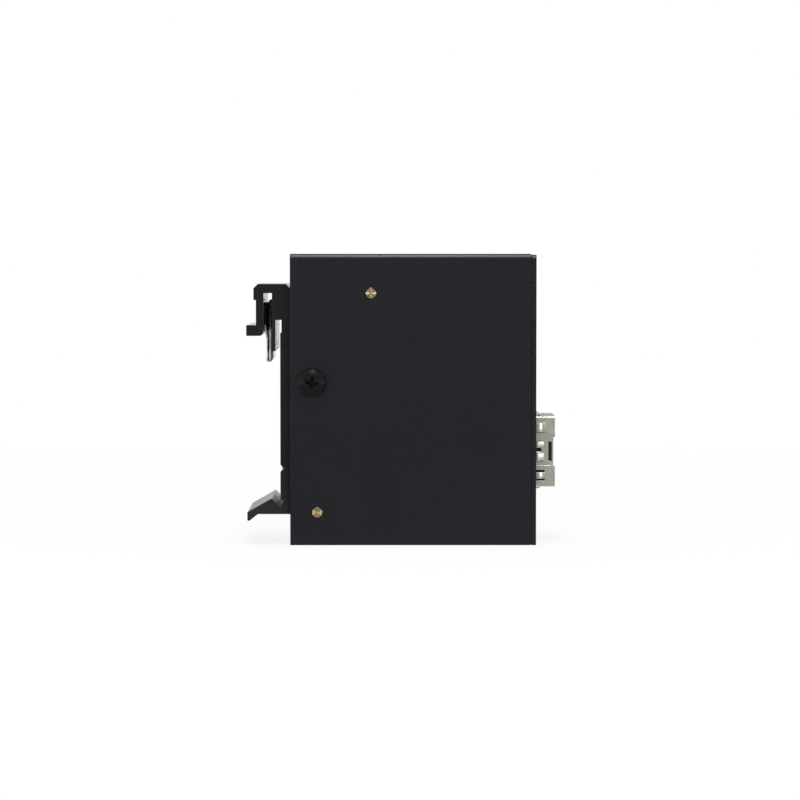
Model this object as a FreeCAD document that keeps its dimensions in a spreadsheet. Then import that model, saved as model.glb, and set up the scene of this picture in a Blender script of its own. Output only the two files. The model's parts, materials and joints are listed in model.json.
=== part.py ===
"""Industrial media converter on a rail clip: parametric assembly, millimetres, +Z up.

Built in the case's own frame: X from the back face of the case towards its ports,
Y from the middle plane (the visible side wall is at -Y), Z from the bottom edge.
Every sub-part is then moved along X so that the origin lies under the middle of the whole.
"""
import FreeCAD, Part
import math
import os
import types
import Sketcher
from FreeCAD import Placement, Rotation, Vector

DIMENSIONS = [
    # folded steel case
    ("case_height", 63.0),
    ("case_depth", 53.2),
    ("case_width", 27.0),
    ("sheet", 1.0),
    ("bend_inner", 0.15),
    ("fold_gap", 0.12),
    ("panel_drop", 0.2),
    ("panel_corner", 1.1),
    ("flange_reach", 9.5),
    ("flange_height", 12.0),
    ("relief_width", 0.8),
    ("relief_depth", 2.2),
    ("nick_from_back", 19.6),
    ("nick_width", 0.4),
    ("nick_depth", 0.4),
    # cover screws and hexagon weld nuts
    ("cover_screw_x", 4.76),
    ("cover_screw_z", 35.2),
    ("screw_thread", 3.0),
    ("screw_clearance", 0.1),
    ("screw_length", 5.0),
    ("pan_head", 6.0),
    ("pan_head_height", 2.0),
    ("pan_head_side", 1.15),
    ("pan_head_flat", 3.7),
    ("recess_span", 3.1),
    ("recess_wing", 0.95),
    ("recess_depth", 1.25),
    ("nut_width", 5.5),
    ("nut_height", 1.9),
    ("thread_clearance", 0.05),
    # extruded rail clip
    ("clip_width", 24.0),
    ("clip_reach", 9.5),
    ("clip_base", 6.61),
    ("clip_height", 49.89),
    ("clip_plate", 2.16),
    ("clip_chamfer", 0.96),
    ("clip_roof", 2.0),
    ("hook_band_depth", 7.93),
    ("hook_band_height", 3.5),
    ("hook_wall_face", 7.4),
    ("hook_foot_bottom", 38.65),
    ("hook_foot_thickness", 2.34),
    ("hook_foot_round", 0.95),
    ("spring_slot_outer", 5.75),
    ("spring_slot_inner", 3.94),
    ("tongue_face", 3.2),
    ("tongue_end", 35.36),
    ("rail_gap_top", 42.09),
    ("rail_relief", 0.29),
    ("rail_relief_length", 2.77),
    ("groove_height", 9.96),
    ("groove_depth", 0.72),
    ("groove_half", 0.8),
    ("undercut_start", 3.34),
    ("undercut_depth", 0.63),
    ("undercut_height", 2.79),
    ("seat_depth", 2.37),
    ("seat_height", 1.77),
    ("lip_tip_depth", 4.11),
    ("lip_tip_height", 3.41),
    ("lip_short", 0.14),
    ("lip_end_height", 0.42),
    ("lip_drop", 1.44),
    ("lip_toe_width", 0.49),
    ("lip_heel_width", 2.29),
    ("clip_corner", 0.2),
    ("clip_screw_upper", 26.4),
    ("flat_head", 5.5),
    ("flat_head_height", 1.6),
    ("sink_clearance", 0.1),
    ("clip_screw_length", 5.2),
    ("cut_overrun", 0.3),
    # hairpin spring in the clip
    ("spring_width", 20.0),
    ("spring_strip", 0.35),
    ("spring_bend_inner", 0.22),
    ("spring_bend_height", 33.55),
    ("spring_flare_start", 38.4),
    ("spring_flare_length", 2.2),
    ("spring_outer_gap", 2.19),
    ("spring_inner_gap", 1.39),
    ("spring_hook", 0.4),
    # circuit board on its standoffs
    ("standoff_height", 6.0),
    ("standoff_width", 5.0),
    ("standoff_spigot", 2.45),
    ("standoff_proud", 0.08),
    ("standoff_end_bevel", 0.12),
    ("standoff_bore_depth", 4.8),
    ("spigot_gap", 0.07),
    ("upper_standoff_x", 17.5),
    ("upper_standoff_drop", 8.5),
    ("lower_standoff_x", 5.84),
    ("lower_standoff_z", 7.1),
    ("board_thickness", 1.6),
    ("board_back", 3.3),
    ("board_front_gap", 0.6),
    ("board_bottom_gap", 1.0),
    ("board_top_gap", 1.0),
    ("board_corner", 1.0),
    ("board_screw", 2.4),
    ("board_hole_clearance", 0.15),
    ("board_screw_head", 4.4),
    ("board_screw_head_height", 1.7),
    ("board_screw_length", 6.0),
    ("board_screw_slot", 0.6),
    ("board_screw_slot_depth", 0.85),
    # network socket
    ("jack_reach", 4.55),
    ("jack_width", 15.5),
    ("jack_height", 13.4),
    ("jack_length", 21.5),
    ("jack_middle", 19.75),
    ("jack_corner", 0.5),
    ("foil", 0.25),
    ("port_clearance", 0.3),
    ("underside_back", 1.2),
    ("underside_front", 3.2),
    ("underside_side", 1.0),
    ("key_width", 6.25),
    ("key_step", 0.17),
    ("key_setback", 0.35),
    ("key_back", 2.0),
    ("key_lap", 0.25),
    ("key_slot_setback", 0.7),
    ("key_slot_depth", 0.8),
    ("key_slot_width", 4.25),
    ("finger_end", 2.3),
    ("finger_bulge", 0.28),
    ("finger_dip", 0.14),
    ("finger_root", 0.3),
    ("finger_flat", 0.6),
    ("finger_ramp", 0.5),
    ("finger_crest", 0.7),
    ("finger_tail", 0.9),
    ("finger_window", 2.3),
    ("finger_window_back", 1.3),
    ("finger_width", 1.3),
    ("finger_spacing", 10.43),
    ("key_finger_end", 1.95),
    ("key_finger_width", 4.1),
    ("key_finger_gap", 0.15),
    ("key_eye_width", 0.9),
    ("key_eye_start", 0.1),
    ("key_eye_end_gap", 0.45),
    ("key_eye_offset", 0.4),
    ("side_finger_width", 2.0),
    ("insert_near_gap", 0.75),
    ("insert_setback", 0.45),
    ("insert_clearance", 0.03),
    ("insert_corner", 0.4),
    ("plug_width", 11.8),
    ("plug_height", 7.0),
    ("plug_depth", 12.5),
    ("plug_key_width", 6.2),
    ("plug_key_height", 1.7),
    ("plug_key_floor", 1.2),
    ("comb_width", 8.6),
    ("comb_height", 1.3),
    ("contact_pitch", 1.02),
    ("contact_width", 0.46),
    ("contact_strip", 0.3),
    ("contact_nose", 2.2),
    ("contact_nose_drop", 0.35),
    ("contact_crown", 0.4),
    ("contact_crook", 0.7),
    ("contact_crook_gap", 0.1),
    ("contact_tip", 8.6),
    ("contact_tip_drop", 3.7),
    # pluggable optics cage
    ("cage_above_jack", 3.4),
    ("cage_width", 14.2),
    ("cage_height", 9.7),
    ("cage_back_gap", 5.2),
    ("cage_corner", 0.3),
    ("cage_gap_back", 0.8),
    ("cage_gap_front", 3.0),
    ("cage_gap_side", 0.9),
    ("latch_hole_tip", 5.2),
    ("latch_hole_base", 3.0),
    ("latch_hole_width", 3.2),
    ("socket_back_gap", 1.2),
    ("socket_depth", 9.0),
    ("socket_width", 12.0),
    ("socket_height", 5.6),
    ("socket_slot", 1.6),
    ("socket_slot_rise", 2.5),
    ("socket_slot_depth", 6.0),
    ("socket_slot_end", 0.9),
    ("socket_lead_in", 0.5),
    # status lights
    ("light_pitch", 3.2),
    ("light_clearance", 0.05),
    ("light_width", 2.8),
    ("light_height", 1.6),
    ("light_rise", 2.2),
    ("light_block_margin", 0.5),
    ("light_block_skin", 0.3),
    ("light_rod_length", 5.2),
    ("light_block_depth", 2.6),
    ("lamp_depth", 0.9),
    ("lamp_base_width", 1.6),
    ("lamp_base_height", 1.1),
    ("lamp_lens_width", 1.2),
    ("lamp_lens_bevel", 0.4),
    ("lamp_height", 2.2),
    # power terminal flush in the top
    ("terminal_gap", 0.9),
    ("terminal_pitch", 5.08),
    ("terminal_margin", 0.3),
    ("terminal_width", 10.2),
    ("terminal_drop", 9.8),
    ("terminal_edge", 0.4),
    ("wire_hole", 3.2),
    ("wire_hole_depth", 8.0),
    ("wire_margin", 1.3),
    ("driver_clearance", 0.1),
    ("driver_hole_depth", 6.8),
    ("driver_margin", 0.95),
    ("clamp_screw", 3.5),
    ("clamp_screw_sink", 1.4),
    ("clamp_slot", 0.7),
    ("clamp_slot_depth", 0.9),
    ("clamp_height", 4.2),
    ("clamp_wall", 0.5),
    ("clamp_clearance", 0.03),
    # parts on the board
    ("part_spacing", 2.0),
    ("chip_size", 9.0),
    ("chip_height", 0.9),
    ("chip_edge", 0.15),
    ("transformer_length", 12.7),
    ("transformer_depth", 9.2),
    ("transformer_height", 5.2),
    ("transformer_edge", 0.5),
    ("crystal_above_chip", 3.0),
    ("crystal_length", 5.0),
    ("crystal_depth", 3.2),
    ("crystal_height", 1.1),
    ("crystal_edge", 0.25),
    ("inductor_from_back", 6.7),
    ("inductor_size", 6.2),
    ("inductor_height", 3.2),
    ("inductor_edge", 0.6),
    ("regulator_length", 5.0),
    ("regulator_depth", 4.0),
    ("regulator_height", 1.5),
    ("regulator_edge", 0.3),
    ("capacitor_from_back", 12.0),
    ("capacitor_pitch", 8.0),
    ("capacitor_width", 6.3),
    ("capacitor_height", 7.6),
    ("capacitor_base", 6.6),
    ("capacitor_base_height", 0.8),
    ("capacitor_base_corner", 1.2),
]

CONTACTS = 8
LIGHTS = 3
POLES = 3
TOLERANCE = 1e-4


class Size:
    """A driving dimension, or arithmetic on some: text for an expression, value for plain code."""

    def __init__(self, text, value):
        self.text = text
        self.value = value

    def __add__(self, other):
        other = as_size(other)
        return Size("(%s + %s)" % (self.text, other.text), self.value + other.value)

    def __sub__(self, other):
        other = as_size(other)
        return Size("(%s - %s)" % (self.text, other.text), self.value - other.value)

    def __mul__(self, other):
        other = as_size(other)
        return Size("(%s * %s)" % (self.text, other.text), self.value * other.value)

    def __truediv__(self, other):
        other = as_size(other)
        return Size("(%s / %s)" % (self.text, other.text), self.value / other.value)

    def __rsub__(self, other):
        return as_size(other) - self

    def __neg__(self):
        return as_size(0) - self

    __radd__ = __add__
    __rmul__ = __mul__


def as_size(thing):
    """Wrap a plain number so that it can stand beside driving dimensions."""
    if isinstance(thing, Size):
        return thing
    return Size("(%r)" % float(thing), float(thing))


doc = FreeCAD.newDocument("media_converter")
dims = doc.addObject("Spreadsheet::Sheet", "dims")
for row, (alias, number) in enumerate(DIMENSIONS, 1):
    dims.set("A%d" % row, alias)
    dims.set("B%d" % row, str(number))
    dims.setAlias("B%d" % row, alias)
doc.recompute()
d = types.SimpleNamespace(**{alias: Size("dims.%s" % alias, number) for alias, number in DIMENSIONS})

HALF = d.case_width / 2
INNER_HALF = HALF - d.sheet - d.fold_gap
BEND = d.sheet + d.bend_inner
FRONT = d.case_depth
PANEL_BACK = FRONT - d.sheet
ORIGIN_SHIFT = -(d.case_depth + d.jack_reach - d.clip_reach) / 2
BOARD_NEAR = -HALF + d.sheet + d.standoff_height
BOARD_TOP = BOARD_NEAR + d.board_thickness
SCREW_HOLE = d.screw_thread + 2 * d.screw_clearance
LIP_END = d.clip_reach - d.lip_short
SLOT_TOP = d.clip_base + d.clip_height - d.clip_roof
JACK_BACK = FRONT + d.jack_reach - d.jack_length
CAGE_BACK = d.sheet + d.cage_back_gap
CAGE_LENGTH = FRONT - CAGE_BACK
CAGE_MIDDLE = d.jack_middle + d.jack_width / 2 + d.cage_above_jack + d.cage_width / 2
CAGE_TOP = CAGE_MIDDLE + d.cage_width / 2
LIGHT_MIDDLE = (CAGE_TOP + d.case_height - d.sheet) / 2
LIGHT_BLOCK_FRONT = FRONT - d.light_rod_length
LIGHT_BLOCK_BACK = LIGHT_BLOCK_FRONT - d.light_block_depth
UPPER_STANDOFF_Z = d.case_height - d.upper_standoff_drop
TERMINAL_BACK = d.upper_standoff_x + d.board_screw_head / 2 + d.terminal_gap
TERMINAL_FRONT = TERMINAL_BACK + POLES * d.terminal_pitch + 2 * d.terminal_margin
DRIVER_HOLE = d.clamp_screw + 2 * d.driver_clearance
WIRE_ROW = BOARD_TOP + d.wire_margin + d.wire_hole / 2
DRIVER_ROW = BOARD_TOP + d.terminal_width - d.driver_margin - DRIVER_HOLE / 2
TRANSFORMER_X = JACK_BACK - d.part_spacing - d.transformer_depth / 2
CHIP_X = TRANSFORMER_X - d.transformer_depth / 2 - d.part_spacing - d.chip_size / 2
CRYSTAL_Z = d.jack_middle + d.chip_size / 2 + d.crystal_above_chip
INDUCTOR_X = d.inductor_from_back + d.inductor_size / 2
INDUCTOR_Z = CAGE_TOP + d.part_spacing + d.inductor_size / 2
CAPACITOR_X = d.capacitor_from_back + d.capacitor_base / 2
REGULATOR_X = (CAPACITOR_X + d.capacitor_pitch + d.capacitor_base / 2 + d.part_spacing
               + d.regulator_length / 2)

sub_parts = []


def bind(thing, path, size):
    """Drive one property of an object from the sheet."""
    thing.setExpression(path, as_size(size).text)


def new_body(label):
    """Start a body for one sub-part, or for one piece that is repeated."""
    body = doc.addObject("PartDesign::Body", label)
    body.Label = label
    return body


def keep(thing):
    """Move a finished sub-part into the shared frame and list it for export."""
    bind(thing, "Placement.Base.x", ORIGIN_SHIFT)
    sub_parts.append(thing)
    return thing


def repeat(label, piece, places, turn=None):
    """One node from several copies of a piece; each place is (x, y, z) or (x, y, z, rotation)."""
    copies = []
    for index, place in enumerate(places):
        copy = doc.addObject("App::Link", "%s_%d" % (label, index + 1))
        copy.LinkedObject = piece
        copy.Placement = Placement(Vector(), place[3] if len(place) > 3 else turn or Rotation())
        for axis, size in zip("xyz", place):
            bind(copy, "Placement.Base.%s" % axis, size)
        copies.append(copy)
    group = doc.addObject("Part::Compound", label)
    group.Label = label
    group.Links = copies
    return keep(group)


def blank_sketch(body, name, plane, at):
    """A sketch on one of the body's own origin planes, moved to a coordinate along its axis."""
    sketch = body.newObject("Sketcher::SketchObject", name)
    support = next(item for item in body.Origin.OriginFeatures if item.Role == plane)
    sketch.AttachmentSupport = (support, "")
    sketch.MapMode = "FlatFace"
    at = as_size(at)
    bind(sketch, "AttachmentOffset.Base.z", -at if plane == "XZ_Plane" else at)
    return sketch


def hold(sketch, kind, curve, point, name, size):
    """Place one point of a sketch from the sheet."""
    index = sketch.addConstraint(Sketcher.Constraint(kind, -1, 1, curve, point, size.value))
    sketch.renameConstraint(index, name)
    bind(sketch, "Constraints." + name, size)


def outlines(body, name, plane, at, loops):
    """A sketch of closed outlines with straight sides; every corner is driven by the sheet."""
    sketch = blank_sketch(body, name, plane, at)
    for loop in loops:
        corners = [(as_size(u), as_size(v)) for u, v in loop]
        first = sketch.GeometryCount
        count = len(corners)
        for index in range(count):
            here = corners[index]
            there = corners[(index + 1) % count]
            start = Vector(here[0].value, here[1].value, 0)
            stop = Vector(there[0].value, there[1].value, 0)
            sketch.addGeometry(Part.LineSegment(start, stop), False)
        for index in range(count):
            follower = first + (index + 1) % count
            sketch.addConstraint(Sketcher.Constraint("Coincident", first + index, 2, follower, 1))
        for index, (u, v) in enumerate(corners):
            hold(sketch, "DistanceX", first + index, 1, "u%d" % (first + index), u)
            hold(sketch, "DistanceY", first + index, 1, "v%d" % (first + index), v)
    return sketch


def box_loop(u_low, u_high, v_low, v_high):
    """The four corners of an upright rectangle."""
    return [(u_low, v_low), (u_high, v_low), (u_high, v_high), (u_low, v_high)]


def hexagon(width):
    """The corners of a hexagon of a width across its flats."""
    corner = width / math.sqrt(3)
    angles = [math.radians(30 + 60 * index) for index in range(6)]
    return [(corner * math.cos(angle), corner * math.sin(angle)) for angle in angles]


def circles(body, name, plane, at, rings):
    """A sketch of circles, each (u, v, diameter)."""
    sketch = blank_sketch(body, name, plane, at)
    for index, ring in enumerate(rings):
        u, v, width = [as_size(item) for item in ring]
        middle = Vector(u.value, v.value, 0)
        curve = sketch.addGeometry(Part.Circle(middle, Vector(0, 0, 1), width.value / 2), False)
        hold(sketch, "DistanceX", curve, 3, "u%d" % index, u)
        hold(sketch, "DistanceY", curve, 3, "v%d" % index, v)
        size = sketch.addConstraint(Sketcher.Constraint("Diameter", curve, width.value))
        sketch.renameConstraint(size, "w%d" % index)
        bind(sketch, "Constraints.w%d" % index, width)
    return sketch


def is_flipped(sketch):
    """The XZ plane's normal points to -Y, the other two planes' along their axis."""
    return sketch.AttachmentSupport[0][0].Role == "XZ_Plane"


def grow(body, name, sketch, length):
    """Pad a sketch towards the positive axis."""
    pad = body.newObject("PartDesign::Pad", name)
    pad.Profile = sketch
    bind(pad, "Length", length)
    pad.Reversed = is_flipped(sketch)
    doc.recompute()
    return pad


def cut(body, name, sketch, length):
    """Pocket a sketch towards the positive axis, and make sure that it took something away."""
    before = body.Tip.Shape.Volume
    pocket = body.newObject("PartDesign::Pocket", name)
    pocket.Profile = sketch
    bind(pocket, "Length", length)
    pocket.Reversed = not is_flipped(sketch)
    doc.recompute()
    if not pocket.Shape.Volume < before:
        raise RuntimeError("%s of %s removes nothing" % (name, body.Label))
    return pocket


def spin(body, name, corners):
    """Turn a profile of (radius, height) corners about the Z axis."""
    profile = outlines(body, name + "_profile", "XZ_Plane", 0, [corners])
    turned = body.newObject("PartDesign::Revolution", name)
    turned.Profile = profile
    turned.ReferenceAxis = (profile, ["V_Axis"])
    turned.Angle = 360
    doc.recompute()
    return turned


def edges_along(shape, axis, places, low=None, high=None):
    """Names of straight edges along an axis at the given pairs of the other two coordinates."""
    own = "XYZ".index(axis)
    others = [index for index in range(3) if index != own]
    names = []
    for number, edge in enumerate(shape.Edges, 1):
        box = edge.BoundBox
        lows = (box.XMin, box.YMin, box.ZMin)
        highs = (box.XMax, box.YMax, box.ZMax)
        if low is not None and lows[own] < low.value - TOLERANCE:
            continue
        if high is not None and highs[own] > high.value + TOLERANCE:
            continue
        for place in places:
            wanted = [as_size(item).value for item in place]
            offsets = [
                max(abs(lows[index] - value), abs(highs[index] - value))
                for index, value in zip(others, wanted)
            ]
            if max(offsets) < TOLERANCE:
                names.append("Edge%d" % number)
    return names


def soften(body, name, kind, size, names):
    """Fillet or chamfer the named edges of what the body is so far."""
    if not names:
        raise RuntimeError("%s of %s finds no edge" % (name, body.Label))
    base = body.Tip
    feature = body.newObject("PartDesign::" + kind, name)
    feature.Base = (base, names)
    bind(feature, "Radius" if kind == "Fillet" else "Size", size)
    doc.recompute()
    return feature


def fillet(body, name, radius, axis, places, low=None, high=None):
    """Round the edges along an axis at the given places."""
    return soften(body, name, "Fillet", radius, edges_along(body.Tip.Shape, axis, places, low, high))


def chamfer(body, name, size, axis, places, low=None, high=None):
    """Bevel the edges along an axis at the given places."""
    return soften(body, name, "Chamfer", size, edges_along(body.Tip.Shape, axis, places, low, high))


def hollow(body, name, wall, axis, value):
    """Shell a body inwards and leave it open at its flat face across an axis."""
    base = body.Tip
    own = "XYZ".index(axis)
    names = []
    for number, face in enumerate(base.Shape.Faces, 1):
        box = face.BoundBox
        low = (box.XMin, box.YMin, box.ZMin)[own]
        high = (box.XMax, box.YMax, box.ZMax)[own]
        if max(abs(low - value.value), abs(high - value.value)) < TOLERANCE:
            names.append("Face%d" % number)
    shell = body.newObject("PartDesign::Thickness", name)
    shell.Base = (base, names)
    bind(shell, "Value", wall)
    shell.Reversed = True
    doc.recompute()
    return shell


def cross_recess(body, top):
    """Sink a cross recess into a screw head whose flat top is at `top`."""
    tip = d.recess_span / 2
    side = d.recess_wing / 2
    cross = outlines(body, "recess", "XY_Plane", top - d.recess_depth, [[
        (tip, -side), (tip, side), (side, side), (side, tip), (-side, tip), (-side, side),
        (-tip, side), (-tip, -side), (-side, -side), (-side, -tip), (side, -tip), (side, -side),
    ]])
    cut(body, "recess_cut", cross, d.recess_depth)


def make_cover():
    """Inverted U of painted sheet: both side walls and the top."""
    body = new_body("cover")
    top = d.case_height
    wrap = outlines(body, "wrap", "YZ_Plane", 0, [[
        (-HALF, 0), (-HALF, top), (HALF, top), (HALF, 0), (HALF - d.sheet, 0),
        (HALF - d.sheet, top - d.sheet), (-HALF + d.sheet, top - d.sheet), (-HALF + d.sheet, 0),
    ]])
    grow(body, "wrap_pad", wrap, PANEL_BACK - d.fold_gap)
    fillet(body, "bend_outside", BEND, "X", [(-HALF, top), (HALF, top)])
    fillet(body, "bend_inside", d.bend_inner, "X",
           [(-HALF + d.sheet, top - d.sheet), (HALF - d.sheet, top - d.sheet)])
    screw = circles(body, "screw_hole", "XZ_Plane", -HALF,
                    [(d.cover_screw_x, d.cover_screw_z, SCREW_HOLE)])
    cut(body, "screw_hole_cut", screw, d.case_width)
    spigot = d.standoff_spigot + 2 * d.spigot_gap
    spigots = circles(body, "spigot_holes", "XZ_Plane", -HALF, [
        (d.upper_standoff_x, UPPER_STANDOFF_Z, spigot),
        (d.lower_standoff_x, d.lower_standoff_z, spigot),
    ])
    cut(body, "spigot_holes_cut", spigots, d.sheet)
    window = outlines(body, "terminal_window", "XY_Plane", top - d.sheet, [box_loop(
        TERMINAL_BACK - d.port_clearance, TERMINAL_FRONT + d.port_clearance,
        BOARD_TOP - d.port_clearance, BOARD_TOP + d.terminal_width + d.port_clearance)])
    cut(body, "terminal_window_cut", window, d.sheet)
    nick = outlines(body, "nick", "XY_Plane", top - d.nick_depth, [box_loop(
        d.nick_from_back - d.nick_width / 2, d.nick_from_back + d.nick_width / 2,
        -HALF - d.nick_depth, -HALF + d.nick_depth + d.bend_inner)])
    cut(body, "nick_cut", nick, d.nick_depth)
    return keep(body)


def make_chassis():
    """Front panel, bottom and back folded from one sheet, with two inward screw flanges."""
    body = new_body("chassis")
    back_top = d.case_height - d.sheet - d.fold_gap
    front_top = d.case_height - d.panel_drop
    tray = outlines(body, "tray", "XZ_Plane", -INNER_HALF, [[
        (0, back_top), (0, 0), (FRONT, 0), (FRONT, front_top), (PANEL_BACK, front_top),
        (PANEL_BACK, d.sheet), (d.sheet, d.sheet), (d.sheet, back_top),
    ]])
    grow(body, "tray_pad", tray, 2 * INNER_HALF)
    fillet(body, "bend_outside", BEND, "Y", [(0, 0), (FRONT, 0)])
    fillet(body, "bend_inside", d.bend_inner, "Y", [(d.sheet, d.sheet), (PANEL_BACK, d.sheet)])
    edges = outlines(body, "panel_edges", "YZ_Plane", PANEL_BACK, [
        box_loop(-HALF, -INNER_HALF, 0, front_top), box_loop(INNER_HALF, HALF, 0, front_top)])
    grow(body, "panel_edges_pad", edges, d.sheet)
    fillet(body, "panel_corners", d.panel_corner, "X", [(-HALF, front_top), (HALF, front_top)])
    flange_low = d.cover_screw_z - d.flange_height / 2
    flange_high = d.cover_screw_z + d.flange_height / 2
    flanges = outlines(body, "flanges", "XY_Plane", flange_low, [
        box_loop(0, d.flange_reach, -INNER_HALF, -INNER_HALF + d.sheet),
        box_loop(0, d.flange_reach, INNER_HALF - d.sheet, INNER_HALF)])
    grow(body, "flanges_pad", flanges, d.flange_height)
    reliefs = []
    for low in (flange_low - d.relief_width, flange_high):
        reliefs.append(box_loop(-INNER_HALF, -INNER_HALF + d.relief_depth, low, low + d.relief_width))
        reliefs.append(box_loop(INNER_HALF - d.relief_depth, INNER_HALF, low, low + d.relief_width))
    relief = outlines(body, "bend_reliefs", "YZ_Plane", 0, reliefs)
    cut(body, "bend_reliefs_cut", relief, d.sheet)
    fillet(body, "flange_bend_outside", BEND, "Z", [(0, -INNER_HALF), (0, INNER_HALF)],
           flange_low, flange_high)
    fillet(body, "flange_bend_inside", d.bend_inner, "Z",
           [(d.sheet, -INNER_HALF + d.sheet), (d.sheet, INNER_HALF - d.sheet)], flange_low, flange_high)
    screw = circles(body, "screw_hole", "XZ_Plane", -INNER_HALF,
                    [(d.cover_screw_x, d.cover_screw_z, SCREW_HOLE)])
    cut(body, "screw_hole_cut", screw, 2 * INNER_HALF)
    clip_holes = circles(body, "clip_holes", "YZ_Plane", 0,
                         [(0, z, SCREW_HOLE) for z in clip_screw_heights()])
    cut(body, "clip_holes_cut", clip_holes, d.sheet)
    gap = d.port_clearance
    ports = outlines(body, "ports", "YZ_Plane", PANEL_BACK, [
        box_loop(BOARD_TOP - gap, BOARD_TOP + d.jack_height + gap,
                 d.jack_middle - d.jack_width / 2 - gap, d.jack_middle + d.jack_width / 2 + gap),
        box_loop(BOARD_TOP - gap, BOARD_TOP + d.cage_height + gap,
                 CAGE_MIDDLE - d.cage_width / 2 - gap, CAGE_MIDDLE + d.cage_width / 2 + gap)])
    cut(body, "ports_cut", ports, d.sheet)
    lights = outlines(body, "light_holes", "YZ_Plane", PANEL_BACK,
                      [light_loop(z, d.light_clearance) for z in light_heights()])
    cut(body, "light_holes_cut", lights, d.sheet)
    return keep(body)


def make_cover_screws():
    """Black cross-recess pan heads, one in each side wall."""
    screw = new_body("pan_screw")
    radius = d.pan_head / 2
    thread = d.screw_thread / 2
    rise = d.pan_head_height
    spin(screw, "turned", [
        (0, -d.screw_length), (thread, -d.screw_length), (thread, 0), (radius, 0),
        (radius, d.pan_head_side), (d.pan_head_flat / 2, rise), (0, rise),
    ])
    cross_recess(screw, rise)
    near_turn = -10
    far_turn = 25
    towards_near = Rotation(Vector(1, 0, 0), 90) * Rotation(Vector(0, 0, 1), near_turn)
    towards_far = Rotation(Vector(1, 0, 0), -90) * Rotation(Vector(0, 0, 1), far_turn)
    return repeat("cover_screws", screw, [
        (d.cover_screw_x, -HALF, d.cover_screw_z, towards_near),
        (d.cover_screw_x, HALF, d.cover_screw_z, towards_far),
    ])


def make_nuts():
    """Hexagon weld nuts behind the screw flanges and behind the back panel."""
    nut = new_body("weld_nut")
    flats = outlines(nut, "flats", "XY_Plane", 0, [hexagon(d.nut_width)])
    grow(nut, "flats_pad", flats, d.nut_height)
    bore = circles(nut, "bore", "XY_Plane", 0, [(0, 0, d.screw_thread + 2 * d.thread_clearance)])
    cut(nut, "bore_cut", bore, d.nut_height)
    inwards = INNER_HALF - d.sheet
    repeat("flange_nuts", nut, [
        (d.cover_screw_x, -inwards, d.cover_screw_z, Rotation(Vector(1, 0, 0), -90)),
        (d.cover_screw_x, inwards, d.cover_screw_z, Rotation(Vector(1, 0, 0), 90)),
    ])
    repeat("clip_nuts", nut, [(d.sheet, 0, z) for z in clip_screw_heights()],
           Rotation(Vector(0, 1, 0), 90))


def clip_screw_heights():
    """Heights of the two screws that hold the clip; the lower one follows the drill groove."""
    return [d.clip_base + d.groove_height, d.clip_base + d.clip_screw_upper]


def make_rail_clip():
    """Extruded clip for a 35 mm top-hat rail, one profile along the width."""
    body = new_body("rail_clip")
    base = d.clip_base
    roof = base + d.clip_height
    groove = base + d.groove_height
    bevel = d.clip_chamfer
    foot_bottom = base + d.hook_foot_bottom
    foot_top = foot_bottom + d.hook_foot_thickness
    gap_top = base + d.rail_gap_top
    relief_low = gap_top - d.rail_relief_length
    band_low = roof - d.hook_band_height
    lip_low = base - d.lip_drop
    relief_face = d.clip_plate - d.rail_relief
    profile = outlines(body, "profile", "XZ_Plane", -d.clip_width / 2, [[
        (0, base),
        (-LIP_END + d.lip_heel_width, base),
        (-LIP_END + d.lip_toe_width, lip_low),
        (-LIP_END, lip_low),
        (-LIP_END, base + d.lip_end_height),
        (-d.lip_tip_depth, base + d.lip_tip_height),
        (-d.seat_depth, base + d.seat_height),
        (-d.clip_plate + d.undercut_depth, base + d.undercut_height),
        (-d.clip_plate, base + d.undercut_start),
        (-d.clip_plate, groove - d.groove_half),
        (-d.clip_plate + d.groove_depth, groove),
        (-d.clip_plate, groove + d.groove_half),
        (-d.clip_plate, relief_low),
        (-relief_face, relief_low),
        (-relief_face, gap_top),
        (-d.tongue_face, gap_top),
        (-d.tongue_face, base + d.tongue_end),
        (-d.spring_slot_inner, base + d.tongue_end),
        (-d.spring_slot_inner, SLOT_TOP),
        (-d.spring_slot_outer, SLOT_TOP),
        (-d.spring_slot_outer, foot_bottom),
        (-d.clip_reach, foot_bottom),
        (-d.clip_reach, foot_top),
        (-d.hook_wall_face, foot_top),
        (-d.hook_wall_face, band_low),
        (-d.hook_band_depth, band_low),
        (-d.hook_band_depth, roof - bevel),
        (-d.hook_band_depth + bevel, roof),
        (-bevel, roof),
        (0, roof - bevel),
    ]])
    grow(body, "extrusion", profile, d.clip_width)
    fillet(body, "foot_round", d.hook_foot_round, "Y", [(-d.spring_slot_outer, foot_bottom)])
    fillet(body, "corners", d.clip_corner, "Y", [
        (-d.clip_reach, foot_bottom), (-d.clip_reach, foot_top),
        (-LIP_END, lip_low), (-LIP_END, base + d.lip_end_height),
        (-d.lip_tip_depth, base + d.lip_tip_height),
    ])
    for number, height in enumerate(clip_screw_heights()):
        hole = SCREW_HOLE / 2
        head = d.flat_head / 2 + d.sink_clearance
        sink = d.flat_head_height + d.sink_clearance
        well = outlines(body, "screw_well_%d" % number, "XZ_Plane", 0, [[
            (-d.clip_plate - d.cut_overrun, height), (-d.clip_plate - d.cut_overrun, height + head),
            (-d.clip_plate, height + head), (-d.clip_plate + sink, height + hole),
            (d.cut_overrun, height + hole), (d.cut_overrun, height),
        ]])
        groove_cut = body.newObject("PartDesign::Groove", "screw_well_cut_%d" % number)
        groove_cut.Profile = well
        groove_cut.ReferenceAxis = (well, ["Edge6"])
        groove_cut.Angle = 360
        doc.recompute()
    return keep(body)


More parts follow.
